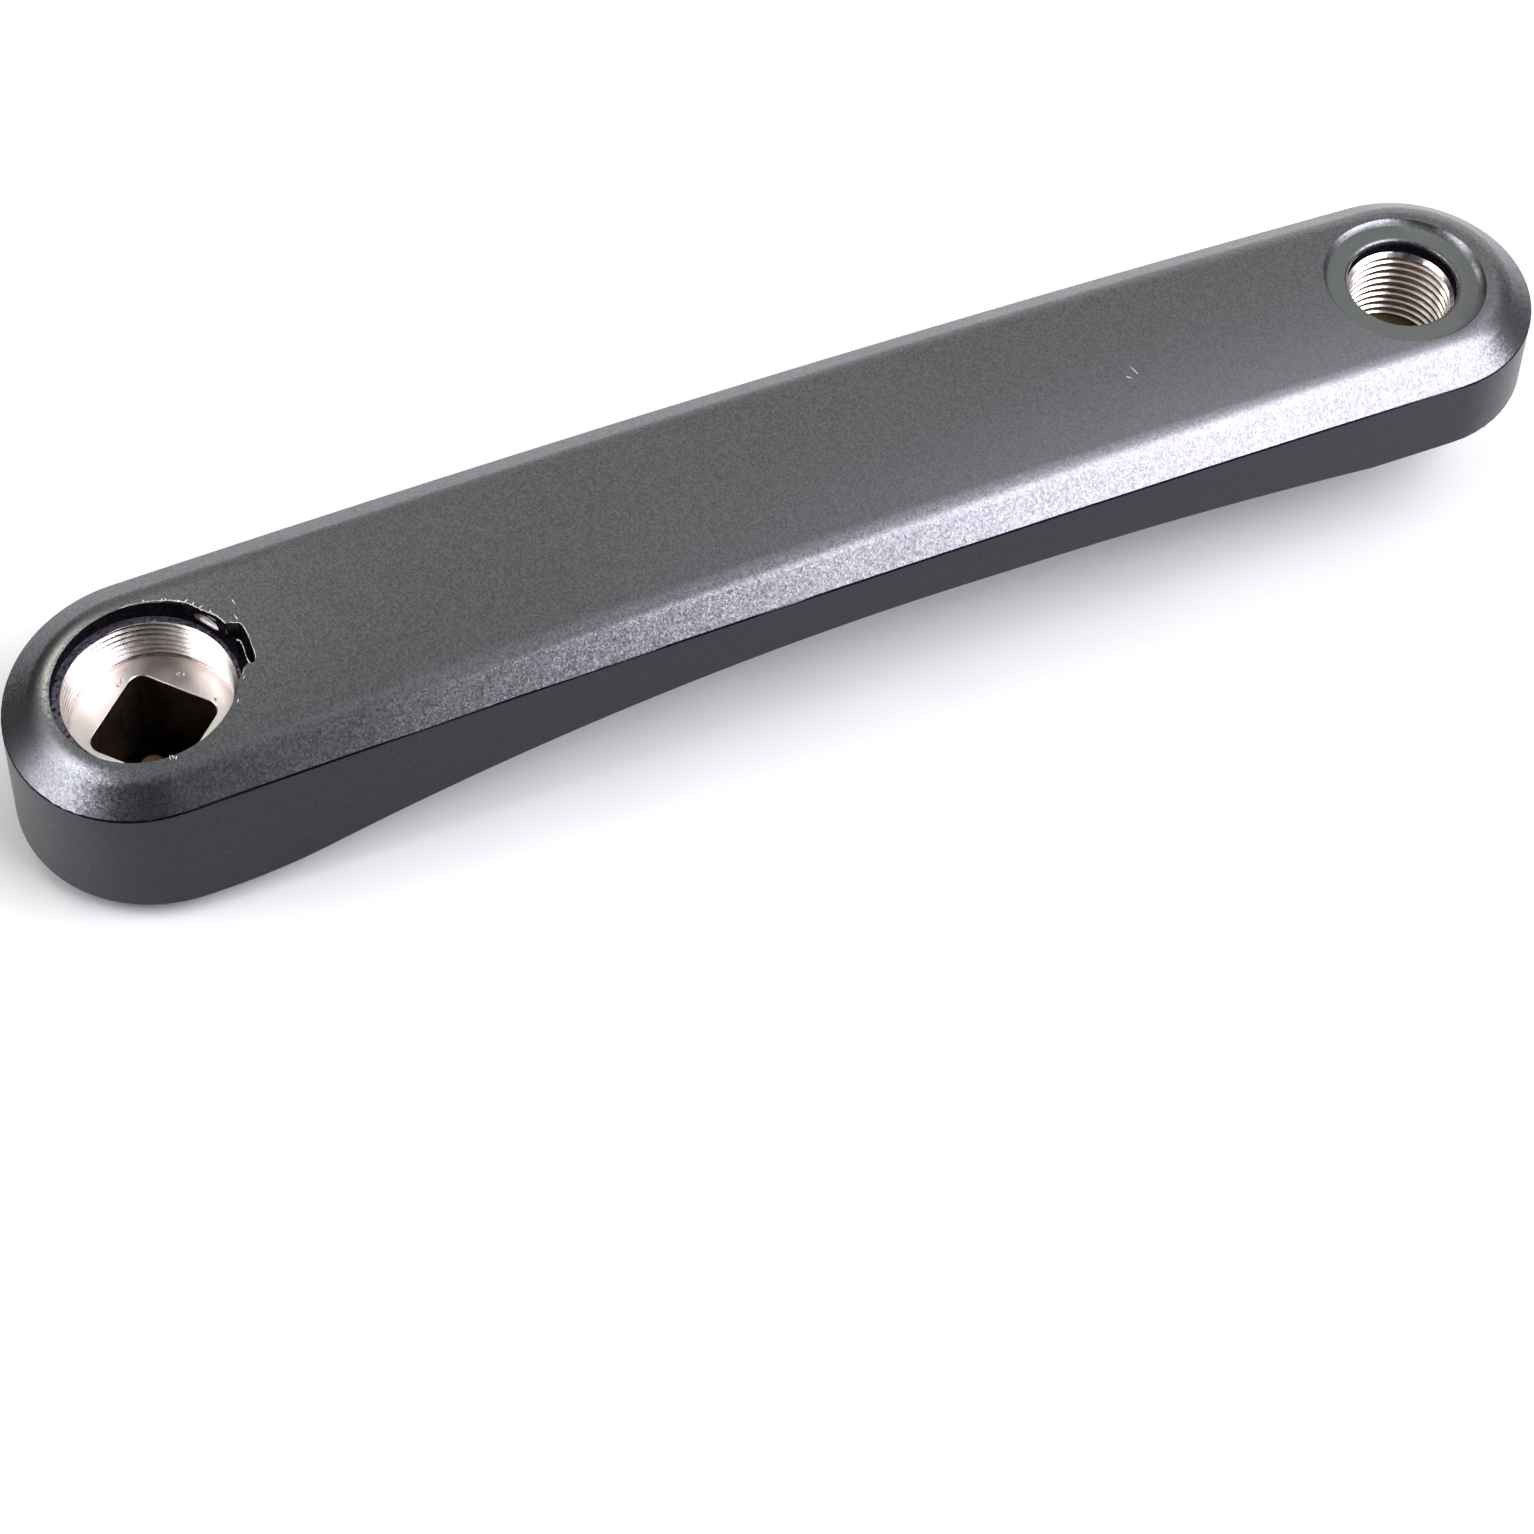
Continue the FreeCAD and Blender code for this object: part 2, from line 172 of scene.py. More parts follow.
def turned(name: str, profile: Sequence[Spot], centre_x: float) -> Piece:
    """Turn a closed profile about an upright axis, as on a lathe.

    Args:
        name: name of the new piece.
        profile: radius and height of each point, from the axis back to the axis.
        centre_x: place of the axis along the arm.

    Returns:
        The closed piece.
    """
    points = [Vector((centre_x + radius, 0.0, height)) for radius, height in profile]
    piece = drawn_line(name, points)
    bpy.ops.mesh.select_all(action="SELECT")
    bpy.ops.mesh.spin(steps=TURN_STEPS, angle=math.tau, center=(centre_x * MM, 0.0, 0.0), axis=UP)
    close_up()
    return piece


@dataclass(frozen=True)
class Thread:
    """A thread round an upright axis, with the height of its foot and its top."""

    name: str
    root: float
    crest: float
    pitch: float
    low: float
    high: float
    centre_x: float = 0.0
    left_hand: bool = False

    def tap(self) -> Piece:
        """Make a threading tap: a rod with one helical ridge round it.

        Returns:
            The closed piece.
        """
        flank = (self.crest - self.root) * math.tan(math.radians(FLANK_ANGLE))
        tip = self.pitch * TIP_SHARE
        land = self.pitch - 2 * flank - tip
        foot = self.low - TURNS_BELOW * self.pitch
        heights = (foot, foot + land, foot + land + flank, foot + land + flank + tip,
                   foot + self.pitch)
        radii = (self.root, self.root, self.crest, self.crest, self.root)
        piece = drawn_line(self.name, [Vector((r, 0.0, z)) for r, z in zip(radii, heights)])
        bpy.ops.object.mode_set(mode="OBJECT")
        turns = math.ceil((self.high - self.low) / self.pitch) + TURNS_ABOVE
        apply_modifier(piece, "SCREW", angle=-math.tau if self.left_hand else math.tau,
                       steps=TURN_STEPS, render_steps=TURN_STEPS, screw_offset=self.pitch * MM,
                       iterations=turns)
        bpy.ops.object.mode_set(mode="EDIT")
        bpy.ops.mesh.select_all(action="SELECT")
        bpy.ops.mesh.remove_doubles(threshold=MERGE)
        for height, below in ((self.low, True), (self.high, False)):
            bpy.ops.mesh.select_all(action="SELECT")
            bpy.ops.mesh.bisect(plane_co=(0, 0, height * MM), plane_no=UP, use_fill=True,
                                threshold=FINE_MERGE, clear_inner=below, clear_outer=not below)
        bpy.ops.mesh.select_all(action="SELECT")
        bpy.ops.transform.translate(value=(self.centre_x * MM, 0, 0))
        close_up()
        return piece


def prism(name: str, outline: Sequence[Spot], low: float, high: float,
          spread: float = 1.0) -> Piece:
    """Raise a closed outline into a solid.

    Args:
        name: name of the new piece.
        outline: corners of the outline in plan, in order.
        low: height of its foot.
        high: height of its top.
        spread: how much wider the top is, about the spindle axis.

    Returns:
        The closed piece.
    """
    piece = drawn_line(name, [Vector((x, y, low)) for x, y in outline])
    bpy.ops.mesh.select_all(action="SELECT")
    bpy.ops.mesh.edge_face_add()
    lift = {"value": (0.0, 0.0, (high - low) * MM)}
    bpy.ops.mesh.extrude_region_move(TRANSFORM_OT_translate=lift)
    bpy.ops.transform.resize(value=(spread, spread, 1.0), center_override=(0.0, 0.0, high * MM))
    close_up()
    return piece


def sliver(name: str, centre: Vector, heading: float, lift: float, length: float, width: float,
           height: float | None = None) -> Piece:
    """Draw a ball out into a sliver with pointed ends.

    Args:
        name: name of the new piece.
        centre: its middle, in millimetres.
        heading: direction in plan, in degrees.
        lift: slope of its rise along that direction, in degrees.
        length: from end to end.
        width: across its middle.
        height: upright through its middle, if not as its width.

    Returns:
        The closed piece.
    """
    bpy.ops.object.select_all(action="DESELECT")
    rings = SLIVER_RINGS if height is None else LARGE_SLIVER_RINGS
    turn = (0.0, -math.radians(lift), math.radians(heading))
    bpy.ops.mesh.primitive_uv_sphere_add(segments=rings + 2, ring_count=rings, radius=MM / 2,
                                         location=centre * MM, rotation=turn)
    piece = bpy.context.active_object
    piece.name = name
    piece.scale = (length, width, height or width)
    bpy.ops.object.transform_apply(location=True, rotation=True, scale=True)
    return piece


def bead(name: str, points: Sequence[Vector], thickness: float, chance: random.Random) -> Piece:
    """Sweep an uneven round bead along a line, as flaked paint stands along an edge.

    Args:
        name: name of the new piece.
        points: the line's points, in millimetres.
        thickness: mean radius of the bead.
        chance: source of its unevenness.

    Returns:
        The closed piece.
    """
    fine = []
    for start, end in zip(points, points[1:]):
        count = max(round((end - start).length / BEAD_STEP), 1)
        fine += [start.lerp(end, step / count) for step in range(count)]
    fine.append(points[-1])
    strays = ((-BEAD_STRAY, BEAD_STRAY), (-BEAD_STRAY, BEAD_STRAY), BEAD_RISE)
    points = [spot + Vector([chance.uniform(*stray) for stray in strays]) for spot in fine]
    drawn_line(name, points)
    bpy.ops.object.mode_set(mode="OBJECT")
    bpy.ops.object.convert(target="CURVE")
    piece = bpy.context.active_object
    piece.data.bevel_depth, piece.data.bevel_resolution, piece.data.use_fill_caps = MM, 1, True
    for point in piece.data.splines[0].points:
        point.radius = thickness * chance.uniform(*BEAD_SWELL)
    bpy.ops.object.convert(target="MESH")
    bpy.ops.object.mode_set(mode="EDIT")
    close_up(FINE_MERGE)
    return piece


def combine(body: Piece, part: Piece, finish: Finish, operation: str = "DIFFERENCE") -> None:
    """Cut a piece out of the body, or weld it on, and leave its finish there.

    Args:
        body: the arm.
        part: closed piece to cut with or to weld on; it is used up.
        finish: what the new faces show.
        operation: DIFFERENCE to cut or UNION to weld.
    """
    part.data.materials.clear()
    part.data.materials.append(body.data.materials[finish.value])
    apply_modifier(body, "BOOLEAN", operation=operation, solver="MANIFOLD",
                   material_mode="TRANSFER", object=part)
    bpy.data.objects.remove(part)


def around(radius: float, angle: float) -> Spot:
    """Spot at a radius and an angle in degrees round the spindle axis."""
    return radius * math.cos(math.radians(angle)), radius * math.sin(math.radians(angle))


class NodeSheet:
    """Adds and links the nodes of one material or node group."""

    def __init__(self, tree: Tree) -> None:
        """Start on an empty or given tree."""
        self.tree = tree

    def give(self, node: Node, inputs: dict[Any, Any]) -> None:
        """Link outputs to a node's sockets, or set the sockets' values.

        Args:
            node: the node to feed.
            inputs: values or outputs for its sockets, by name or number.
        """
        for socket, value in inputs.items():
            if isinstance(value, Socket):
                self.tree.links.new(value, node.inputs[socket])
            else:
                node.inputs[socket].default_value = value

    def add(self, kind: str, inputs: dict[Any, Any] | None = None, **settings: Any) -> Node:
        """Add a node.

        Args:
            kind: the node's type name.
            inputs: values or outputs for its sockets, by name or number.
            settings: values for the node itself.

        Returns:
            The new node.
        """
        node = self.tree.nodes.new(kind)
        for name, value in settings.items():
            setattr(node, name, value)
        self.give(node, inputs or {})
        return node

    def math(self, operation: str, *values: Any) -> Socket:
        """Output of a math node over some values."""
        node = self.add("ShaderNodeMath", dict(enumerate(values)), operation=operation)
        return node.outputs[0]

    def vector(self, operation: str, *values: Any) -> Socket:
        """Output of a vector math node over some values."""
        node = self.add("ShaderNodeVectorMath", dict(enumerate(values)), operation=operation)
        return node.outputs["Value" if operation in ("LENGTH", "DOT_PRODUCT") else "Vector"]

    def mix(self, share: Any, first: Any, second: Any) -> Socket:
        """Colour mixed from the first to the second by a share."""
        node = self.add("ShaderNodeMix", {0: share, 6: first, 7: second}, data_type="RGBA")
        return node.outputs[2]

    def span(self, value: Any, low: float, high: float, to_low: float = 0.0,
             to_high: float = 1.0, kind: str = "LINEAR") -> Socket:
        """Value mapped from one range to another and held inside it."""
        inputs = dict(enumerate((value, low, high, to_low, to_high)))
        return self.add("ShaderNodeMapRange", inputs, interpolation_type=kind).outputs["Result"]

    def ease(self, value: Any, low: float, high: float) -> Socket:
        """Value mapped from a range to 0 to 1, with soft ends."""
        return self.span(value, low, high, kind="SMOOTHSTEP")

    def group(self, tree: Tree, inputs: dict[str, Any]) -> Node:
        """Place a node group and feed it."""
        return self.add("ShaderNodeGroup", inputs, node_tree=tree)


def group_tree(name: str, inputs: dict[str, str],
               outputs: dict[str, str]) -> tuple[NodeSheet, Node, Node]:
    """Start a shader node group.

    Args:
        name: the group's name.
        inputs: socket type of each input.
        outputs: socket type of each output.

    Returns:
        The sheet, the group's input node and its output node.
    """
    tree = bpy.data.node_groups.new(name, "ShaderNodeTree")
    for way, sockets in (("INPUT", inputs), ("OUTPUT", outputs)):
        for label, kind in sockets.items():
            tree.interface.new_socket(label, in_out=way, socket_type=kind)
    sheet = NodeSheet(tree)
    return sheet, sheet.add("NodeGroupInput"), sheet.add("NodeGroupOutput")


FLOAT, VECTOR = "NodeSocketFloat", "NodeSocketVector"


@dataclass(frozen=True)
class Effects:
    """Node groups that several finishes share."""

    flake: Tree
    drift: Tree
    turning: Tree

    @classmethod
    def build(cls) -> "Effects":
        """Build each group once."""
        return cls(cls._flake(), cls._drift(), cls._turning())

    @staticmethod
    def _flake() -> Tree:
        """Metal flakes: small cells, each with its own tilt and brightness.

        Returns:
            The group.
        """
        sheet, given, out = group_tree(
            "metal_flake", {"Vector": VECTOR, "Normal": VECTOR, "Size": FLOAT, "Tilt": FLOAT},
            {"Normal": VECTOR, "Glint": FLOAT})
        scale = sheet.math("DIVIDE", 1 / MM, given.outputs["Size"])
        cells = sheet.add("ShaderNodeTexVoronoi",
                          {"Vector": given.outputs["Vector"], "Scale": scale})
        lean = sheet.vector("SUBTRACT", cells.outputs["Color"], (0.5, 0.5, 0.5))
        reach = sheet.add("ShaderNodeVectorMath", {0: lean, "Scale": given.outputs["Tilt"]},
                          operation="SCALE")
        turned_normal = sheet.vector("ADD", given.outputs["Normal"], reach.outputs["Vector"])
        parts = sheet.add("ShaderNodeSeparateColor", {0: cells.outputs["Color"]})
        sheet.give(out, {"Normal": sheet.vector("NORMALIZE", turned_normal),
                         "Glint": parts.outputs[1]})
        return sheet.tree

    @staticmethod
    def _drift() -> Tree:
        """Slow change over a surface, as of an uneven coat.

        Returns:
            The group.
        """
        sheet, given, out = group_tree("slow_drift", {"Vector": VECTOR, "Size": FLOAT},
                                       {"Share": FLOAT})
        scale = sheet.math("DIVIDE", 1 / MM, given.outputs["Size"])
        noise = sheet.add("ShaderNodeTexNoise", {"Vector": given.outputs["Vector"],
                                                 "Scale": scale, "Detail": 3.0})
        sheet.give(out, {"Share": sheet.span(noise.outputs[0], *NOISE_RANGE)})
        return sheet.tree

    @staticmethod
    def _turning() -> Tree:
        """Fine lines that a lathe tool leaves round an upright axis.

        Returns:
            The group.
        """
        sheet, given, out = group_tree("turning_lines", {"Vector": VECTOR, "Pitch": FLOAT},
                                       {"Height": FLOAT})
        flat = sheet.vector("MULTIPLY", given.outputs["Vector"], (1.0, 1.0, 0.0))
        radius = sheet.vector("LENGTH", flat)
        rise = sheet.add("ShaderNodeSeparateXYZ", {0: given.outputs["Vector"]}).outputs["Z"]
        pitch = sheet.math("MULTIPLY", given.outputs["Pitch"], MM)
        along = sheet.math("DIVIDE", sheet.math("ADD", radius, rise), pitch)
        lines = sheet.add("ShaderNodeTexNoise", {"W": along, "Scale": 1.0, "Detail": 2.0},
                          noise_dimensions="1D")
        sheet.give(out, {"Height": lines.outputs[0]})
        return sheet.tree


def new_material(name: str) -> tuple[Material, NodeSheet, Node, Socket]:
    """Start a material.

    Args:
        name: name of the material.

    Returns:
        The material, its sheet, its shader and the piece's own coordinates.
    """
    material = bpy.data.materials.new(name)
    material.use_nodes = True
    sheet = NodeSheet(material.node_tree)
    shader = material.node_tree.nodes["Principled BSDF"]
    place = sheet.add("ShaderNodeTexCoord").outputs["Object"]
    return material, sheet, shader, place


@dataclass(frozen=True)
class Paint:
    """Paint of two tones, with flakes that each lean their own way."""

    name: str
    dark: Colour
    light: Colour
    roughness: float
    flake_size: float
    flake_tilt: float
    metallic: float = 0.97
    specular: float = 0.5
    uneven: float = 0.02
    drift_size: float = 20.0

    def material(self, effects: Effects) -> Material:
        """The finish as a material.

        Args:
            effects: the shared node groups.

        Returns:
            The material.
        """
        material, sheet, shader, place = new_material(self.name)
        normal = sheet.add("ShaderNodeNewGeometry").outputs["Normal"]
        flake = sheet.group(effects.flake, {"Vector": place, "Normal": normal,
                                            "Size": self.flake_size, "Tilt": self.flake_tilt})
        drift = sheet.group(effects.drift, {"Vector": place, "Size": self.drift_size})
        colour = sheet.mix(flake.outputs["Glint"], self.dark, self.light)
        roughness = sheet.span(drift.outputs["Share"], 0.0, 1.0, self.roughness - self.uneven,
                               self.roughness + self.uneven)
        sheet.give(shader, {"Base Color": colour, "Normal": flake.outputs["Normal"],
                            "Roughness": roughness, "Metallic": self.metallic,
                            "Specular IOR Level": self.specular})
        return material


@dataclass(frozen=True)
class Metal:
    """Bare metal of two tones, with turning lines and a fine grain."""

    name: str
    dark: Colour
    light: Colour
    roughness: float
    line_pitch: float
    line_depth: float
    grain: float
    metallic: float = 1.0
    grain_depth: float = 0.6
    dulling: float = 1.3

    def material(self, effects: Effects) -> Material:
        """The finish as a material.

        Args:
            effects: the shared node groups.

        Returns:
            The material.
        """
        material, sheet, shader, place = new_material(self.name)
        lines = sheet.group(effects.turning, {"Vector": place, "Pitch": self.line_pitch})
        speck = sheet.group(effects.drift, {"Vector": place, "Size": self.grain}).outputs["Share"]
        height = sheet.math("ADD", lines.outputs["Height"],
                            sheet.math("MULTIPLY", speck, self.grain_depth))
        bump = sheet.add("ShaderNodeBump", {"Height": height, "Distance": self.line_depth * MM,
                                            "Strength": 1.0})
        roughness = sheet.span(speck, 0.0, 1.0, self.roughness, self.roughness * self.dulling)
        sheet.give(shader, {"Base Color": sheet.mix(speck, self.dark, self.light),
                            "Normal": bump.outputs["Normal"], "Roughness": roughness,
                            "Metallic": self.metallic})
        return material


@dataclass(frozen=True)
class OuterFace:
    """The crowned and bevelled outer face: gives its true normal at a point.

    Its sizes are the solid's. The face is smooth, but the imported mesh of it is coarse, so the
    arm's shading takes its normals from here.
    """

    end_centre: float = 171.0
    axle_radius: float = 17.8
    pedal_radius: float = 16.85
    crease_axle: float = 20.9
    crease_pedal: float = 26.7
    draft: float = math.tan(math.radians(2.8))
    arch_rise: float = 1.65
    bevel_width: Spot = (4.7, 4.3)
    bevel_rise: Spot = (3.0, 3.5)
    crown_rise: float = 0.45
    crown_blend: float = 1.6
    near: float = 0.09
    on_axis: float = 1e-6
    rounds: int = 8

    def __post_init__(self) -> None:
        """Work out the arch that the cross-sections stand on."""
        step = self.axle_radius - self.pedal_radius
        side = (self.end_centre ** 2 + self.axle_radius ** 2 - self.pedal_radius ** 2) / (2 * step)
        climb = self.crease_pedal - self.crease_axle
        reach = (self.pedal_radius - climb * self.draft) / (side - self.pedal_radius)
        tangent = self.end_centre * (1 + reach)
        chord = math.hypot(tangent, climb)
        arch = (chord ** 2 / 4 + self.arch_rise ** 2) / (2 * self.arch_rise)
        half = math.asin(chord / 2 / arch)
        lean = math.asin(climb / chord)
        start = -half - lean
        hub = Vector((-math.sin(start) * arch, 0.0, self.crease_axle - math.cos(start) * arch))
        worked_out = {"side": side, "arch": arch, "start": start, "end": half - lean, "hub": hub}
        for name, value in worked_out.items():
            object.__setattr__(self, name, value)

    def axis(self, share: float) -> tuple[Vector, Vector]:
        """Foot and upright direction of the cross-section at a share of the length.

        Args:
            share: 0 at the spindle to 1 at the pedal.

        Returns:
            The foot in millimetres and the unit direction.
        """
        lean = self.start + (self.end - self.start) * share
        way = Vector((math.sin(lean), 0.0, math.cos(lean)))
        return self.hub + way * self.arch, way

    def half_width(self, share: float) -> float:
        """Half the width between the creases at a share of the length.

        Args:
            share: 0 at the spindle to 1 at the pedal.

        Returns:
            The half width.
        """
        foot, _ = self.axis(share)
        wide = self.axle_radius - self.side + math.sqrt(self.side ** 2 - foot.x ** 2)
        return wide - (foot.z - self.crease_axle) * self.draft

    def section(self, share: float, across: float) -> Spot:
        """Height and slope of the cross-section at a distance from its middle.

        Args:
            share: 0 at the spindle to 1 at the pedal.
            across: distance from the middle.

        Returns:
            The height over the crease, and the slope there.
        """
        width = self.bevel_width[0] + (self.bevel_width[1] - self.bevel_width[0]) * share
        rise = self.bevel_rise[0] + (self.bevel_rise[1] - self.bevel_rise[0]) * share
        half = self.half_width(share)
        shoulder = half - width
        crown = (shoulder ** 2 + self.crown_rise ** 2) / (2 * self.crown_rise)
        base = rise + self.crown_rise - crown
        crown_end = shoulder - self.crown_blend
        if across <= crown_end:
            up = math.sqrt(crown ** 2 - across ** 2)
            return base + up, -across / up
        fall = -rise / width
        blend = self.crown_blend / math.hypot(1.0, fall)
        bevel_start = shoulder + blend
        if across >= bevel_start:
            return (half - across) * -fall, fall
        first = Vector((crown_end, base + math.sqrt(crown ** 2 - crown_end ** 2)))
        last = Vector((bevel_start, (half - bevel_start) * -fall))
        slope = -crown_end / (first.y - base)
        pole_x = (last.y - first.y + slope * first.x - fall * last.x) / (slope - fall)
        pole = Vector((pole_x, first.y + slope * (pole_x - first.x)))
        bend = first.x - 2 * pole.x + last.x
        lead = 2 * (pole.x - first.x)
        gap = first.x - across
        t = -2 * gap / (lead + math.sqrt(max(lead ** 2 - 4 * bend * gap, 0.0)))
        point = first * (1 - t) ** 2 + pole * 2 * t * (1 - t) + last * t ** 2
        way = (pole - first) * (1 - t) + (last - pole) * t
        return point.y, way.y / way.x

    def on_face(self, x: float, y: float) -> Vector:
        """Place on the outer face above a spot in plan.

        Args:
            x: the spot's place along the arm.
            y: its place across.

        Returns:
            The place, in millimetres.
        """
        share = x / self.end_centre
        for _ in range(self.rounds):
            foot, upright = self.axis(max(share, 0.0))
            place = foot + upright * self.section(max(share, 0.0), abs(y))[0]
            share += (x - place.x) / self.end_centre
        return Vector((x, y, place.z))

    def normal_at(self, point: Vector) -> Vector | None:
        """True normal of the outer face.

        Args:
            point: a place, in millimetres.

        Returns:
            The unit normal, or None if the point isn't on the face.
        """
        lean = math.atan2(point.x - self.hub.x, point.z - self.hub.z)
        share = (lean - self.start) / (self.end - self.start)
        held = min(max(share, 0.0), 1.0)
        foot, upright = self.axis(held)
        off = point - foot
        height = off.dot(upright)
        out = off - upright * height
        if held == share:
            out.x = out.z = 0.0
            height = math.hypot(point.x - self.hub.x, point.z - self.hub.z) - self.arch
            upright = Vector((math.sin(lean), 0.0, math.cos(lean)))
        if out.length > self.half_width(held) + self.near:
            return None
        level, slope = self.section(held, out.length)
        if abs(level - height) > self.near:
            return None
        if out.length < self.on_axis:
            return upright
        return (upright - out.normalized() * slope).normalized()


def traced(spots: Sequence[Spot]) -> list[Spot]:
    """Outline in plan from radii and angles round the spindle axis."""
    return [around(*spot) for spot in spots]


@dataclass(frozen=True)
class SpindleEnd:
    """Cuts at the spindle end: the extractor's thread, the socket's edge and the worn rim.

    Outlines of the wear are radii and angles in degrees round the axis. A burr is its place in
    plan, heading, slope and length, and a chip the same without slope.
    """

    face: OuterFace
    thread: Thread = Thread("extractor_tap", 10.47, 11.0, 1.0, low=14.5, high=21.85)
    floor: float = 14.5
    runout_slope: float = 0.3
    runout_radius: float = 10.95
    runout_top: float = 15.05
    rim_round: float = 0.16
    rim_reach: float = 14.0
    rim_low: float = 22.6
    rim_steep: float = 0.3
    rim_flat: float = 0.8
    socket_half: float = 6.125
    socket_corner: float = 1.8
    socket_steps: int = 8
    socket_lead: float = 0.09
    cut_top: float = 26.0
    gap_low: float = 24.45
    worn_rim: tuple[Spot, ...] = (
        (11.3, 103), (11.56, 101), (11.62, 98), (11.58, 94), (11.64, 90), (11.58, 86),
        (11.66, 83), (11.6, 79), (11.72, 76), (11.64, 72), (11.74, 69), (11.68, 65),
        (11.84, 62), (11.76, 58), (11.88, 55), (11.82, 51), (11.92, 48), (11.84, 45),
        (11.72, 42), (11.66, 39), (11.74, 36), (11.7, 34), (11.88, 31), (11.98, 28.6),
        (12.02, 24.5), (12.0, 20), (12.3, 18.9), (12.6, 18), (11.3, 14))
    facet_spot: Triple = (11.72, 34.0, 23.45)
    facet_size: Triple = (6.8, 0.9, 2.0)
    facet_lift: float = -4.0
    bite_low: float = 22.1
    lip_bite: tuple[Spot, ...] = (
        (11.2, -25), (11.5, -23), (11.62, -21), (11.8, -19), (11.86, -16.5), (12.04, -14.2),
        (12.4, -12.6), (12.6, -11), (12.55, -6), (12.5, 0), (12.55, 6), (12.4, 12), (11.2, 14))
    blade: tuple[Spot, ...] = (
        (12.78, -12.4), (12.62, -10.5), (12.5, -7.9), (12.41, -4.3), (12.4, -1.4), (12.4, 1.7),
        (12.36, 4.3), (11.95, 5.9))
    blade_width: float = 0.13
    blade_heights: Spot = (22.0, 25.24)
    corner_fill: tuple[Spot, ...] = (
        (12.1, 19.4), (12.45, 18.7), (12.8, 17.6), (13.1, 16.4), (13.35, 15.2), (13.8, 15.6),
        (13.8, 20.5), (12.1, 20.5))
    fill_heights: Spot = (22.2, 25.21)
    seed: int = 7
    beads: tuple[tuple[float, tuple[Spot, ...]], ...] = (
        (0.05, ((11.66, 90), (11.68, 86), (11.72, 82), (11.74, 77), (11.76, 72), (11.8, 68))),
        (0.08, ((11.8, 67), (11.86, 62), (11.94, 57), (11.98, 52), (11.96, 47), (11.8, 42),
                (11.78, 37), (11.96, 32), (12.1, 27), (12.12, 22), (12.1, 20))),
        (0.05, ((12.5, 18.9), (13.06, 16.9), (13.4, 15.3), (13.58, 13), (13.6, 10), (13.54, 6),
                (13.48, 2), (13.44, -2), (13.54, -5), (13.62, -8), (13.5, -10))),
        (0.05, ((11.9, -19.5), (11.95, -16.5), (12.1, -14.4))),
        (0.06, ((12.78, -12.4), (12.62, -10.5), (12.5, -7.9), (12.42, -6))),
        (0.045, ((12.42, -5), (12.41, -1.4), (12.4, 1.0))),
        (0.085, ((12.4, 1.9), (12.36, 4.3), (11.95, 5.9))))
    burr_width: float = 0.15
    burrs: tuple[Row, ...] = (
        (3.05, 11.42, 118, 28, 0.6), (5.1, 10.75, 35, 20, 0.55), (5.6, 10.6, 95, 35, 0.5),
        (7.05, 9.75, 150, 25, 0.6), (7.75, 9.35, 25, 12, 0.9), (8.55, 8.6, 60, 30, 0.55),
        (9.25, 7.75, 20, 15, 0.7), (10.2, 6.6, 80, 30, 0.5), (-0.1, -11.8, 80, 50, 0.9),
        (0.3, -11.75, 125, 40, 0.7), (0.6, -11.95, 60, 20, 0.5), (9.6, -7.3, 60, 35, 0.6),
        (12.85, 4.35, 103, 14, 1.25), (11.2, -4.4, 35, 25, 0.5))
    chip_width: float = 0.42
    chip_lift: float = 8.0
    chip_rise: float = 0.1
    chips: tuple[Row, ...] = (
        (4.95, 6.45, 20, 0.75), (5.55, 6.1, 70, 0.6), (-1.85, 7.95, 60, 0.8),
        (-2.5, 7.35, 30, 0.6), (8.1, 1.2, 40, 0.35))

    def carve_into(self, body: Piece) -> None:
        """Cut the thread, the socket's edge and the wear into the arm.

        Args:
            body: the arm.
        """
        self.round_rim(body)
        combine(body, self.thread.tap(), Finish.MACHINED)
        radius, top = self.runout_radius, self.runout_top
        profile = [(0, self.floor), (radius, self.floor), (radius, top),
                   (self.thread.root, top + self.runout_slope), (0, top + self.runout_slope)]
        combine(body, turned("extractor_runout", profile, 0.0), Finish.MACHINED)
        self.socket_edge(body)
        self.wear(body)
        self.scatter(body)

    def round_rim(self, body: Piece) -> None:
        """Round the sharp edge of the recess and the notch a little.

        Args:
            body: the arm.
        """
        hold(body)
        bpy.ops.object.mode_set(mode="EDIT")
        bpy.ops.mesh.select_mode(type="EDGE")
        mesh = bmesh.from_edit_mesh(body.data)
        for edge in mesh.edges:
            steep, flat = sorted(abs(face.normal.z) for face in edge.link_faces)
            middle = (edge.verts[0].co + edge.verts[1].co) / 2 / MM
            rim = middle.xy.length < self.rim_reach and middle.z > self.rim_low
            edge.select_set(rim and steep < self.rim_steep and flat > self.rim_flat)
        bmesh.update_edit_mesh(body.data)
        bpy.ops.mesh.bevel(offset=self.rim_round * MM, segments=2, affect="EDGES",
                           clamp_overlap=True)
        bpy.ops.mesh.select_mode(type="VERT")
        bpy.ops.object.mode_set(mode="OBJECT")

    def socket_edge(self, body: Piece) -> None:
        """Break the socket's upper edge.

        Args:
            body: the arm.
        """
        reach = (self.socket_half - self.socket_corner) * math.sqrt(2)
        outline = []
        for quarter in range(4):
            heart = Vector(around(reach, 90 * quarter + 90))
            for step in range(self.socket_steps + 1):
                angle = 90 * quarter + 45 + 90 * step / self.socket_steps
                outline.append(tuple(heart + Vector(around(self.socket_corner, angle))))
        cutter = prism("socket_lead", outline, self.floor - self.socket_lead,
                       self.floor + self.socket_lead, 1 + 2 * self.socket_lead / self.socket_half)
        combine(body, cutter, Finish.FLOOR)

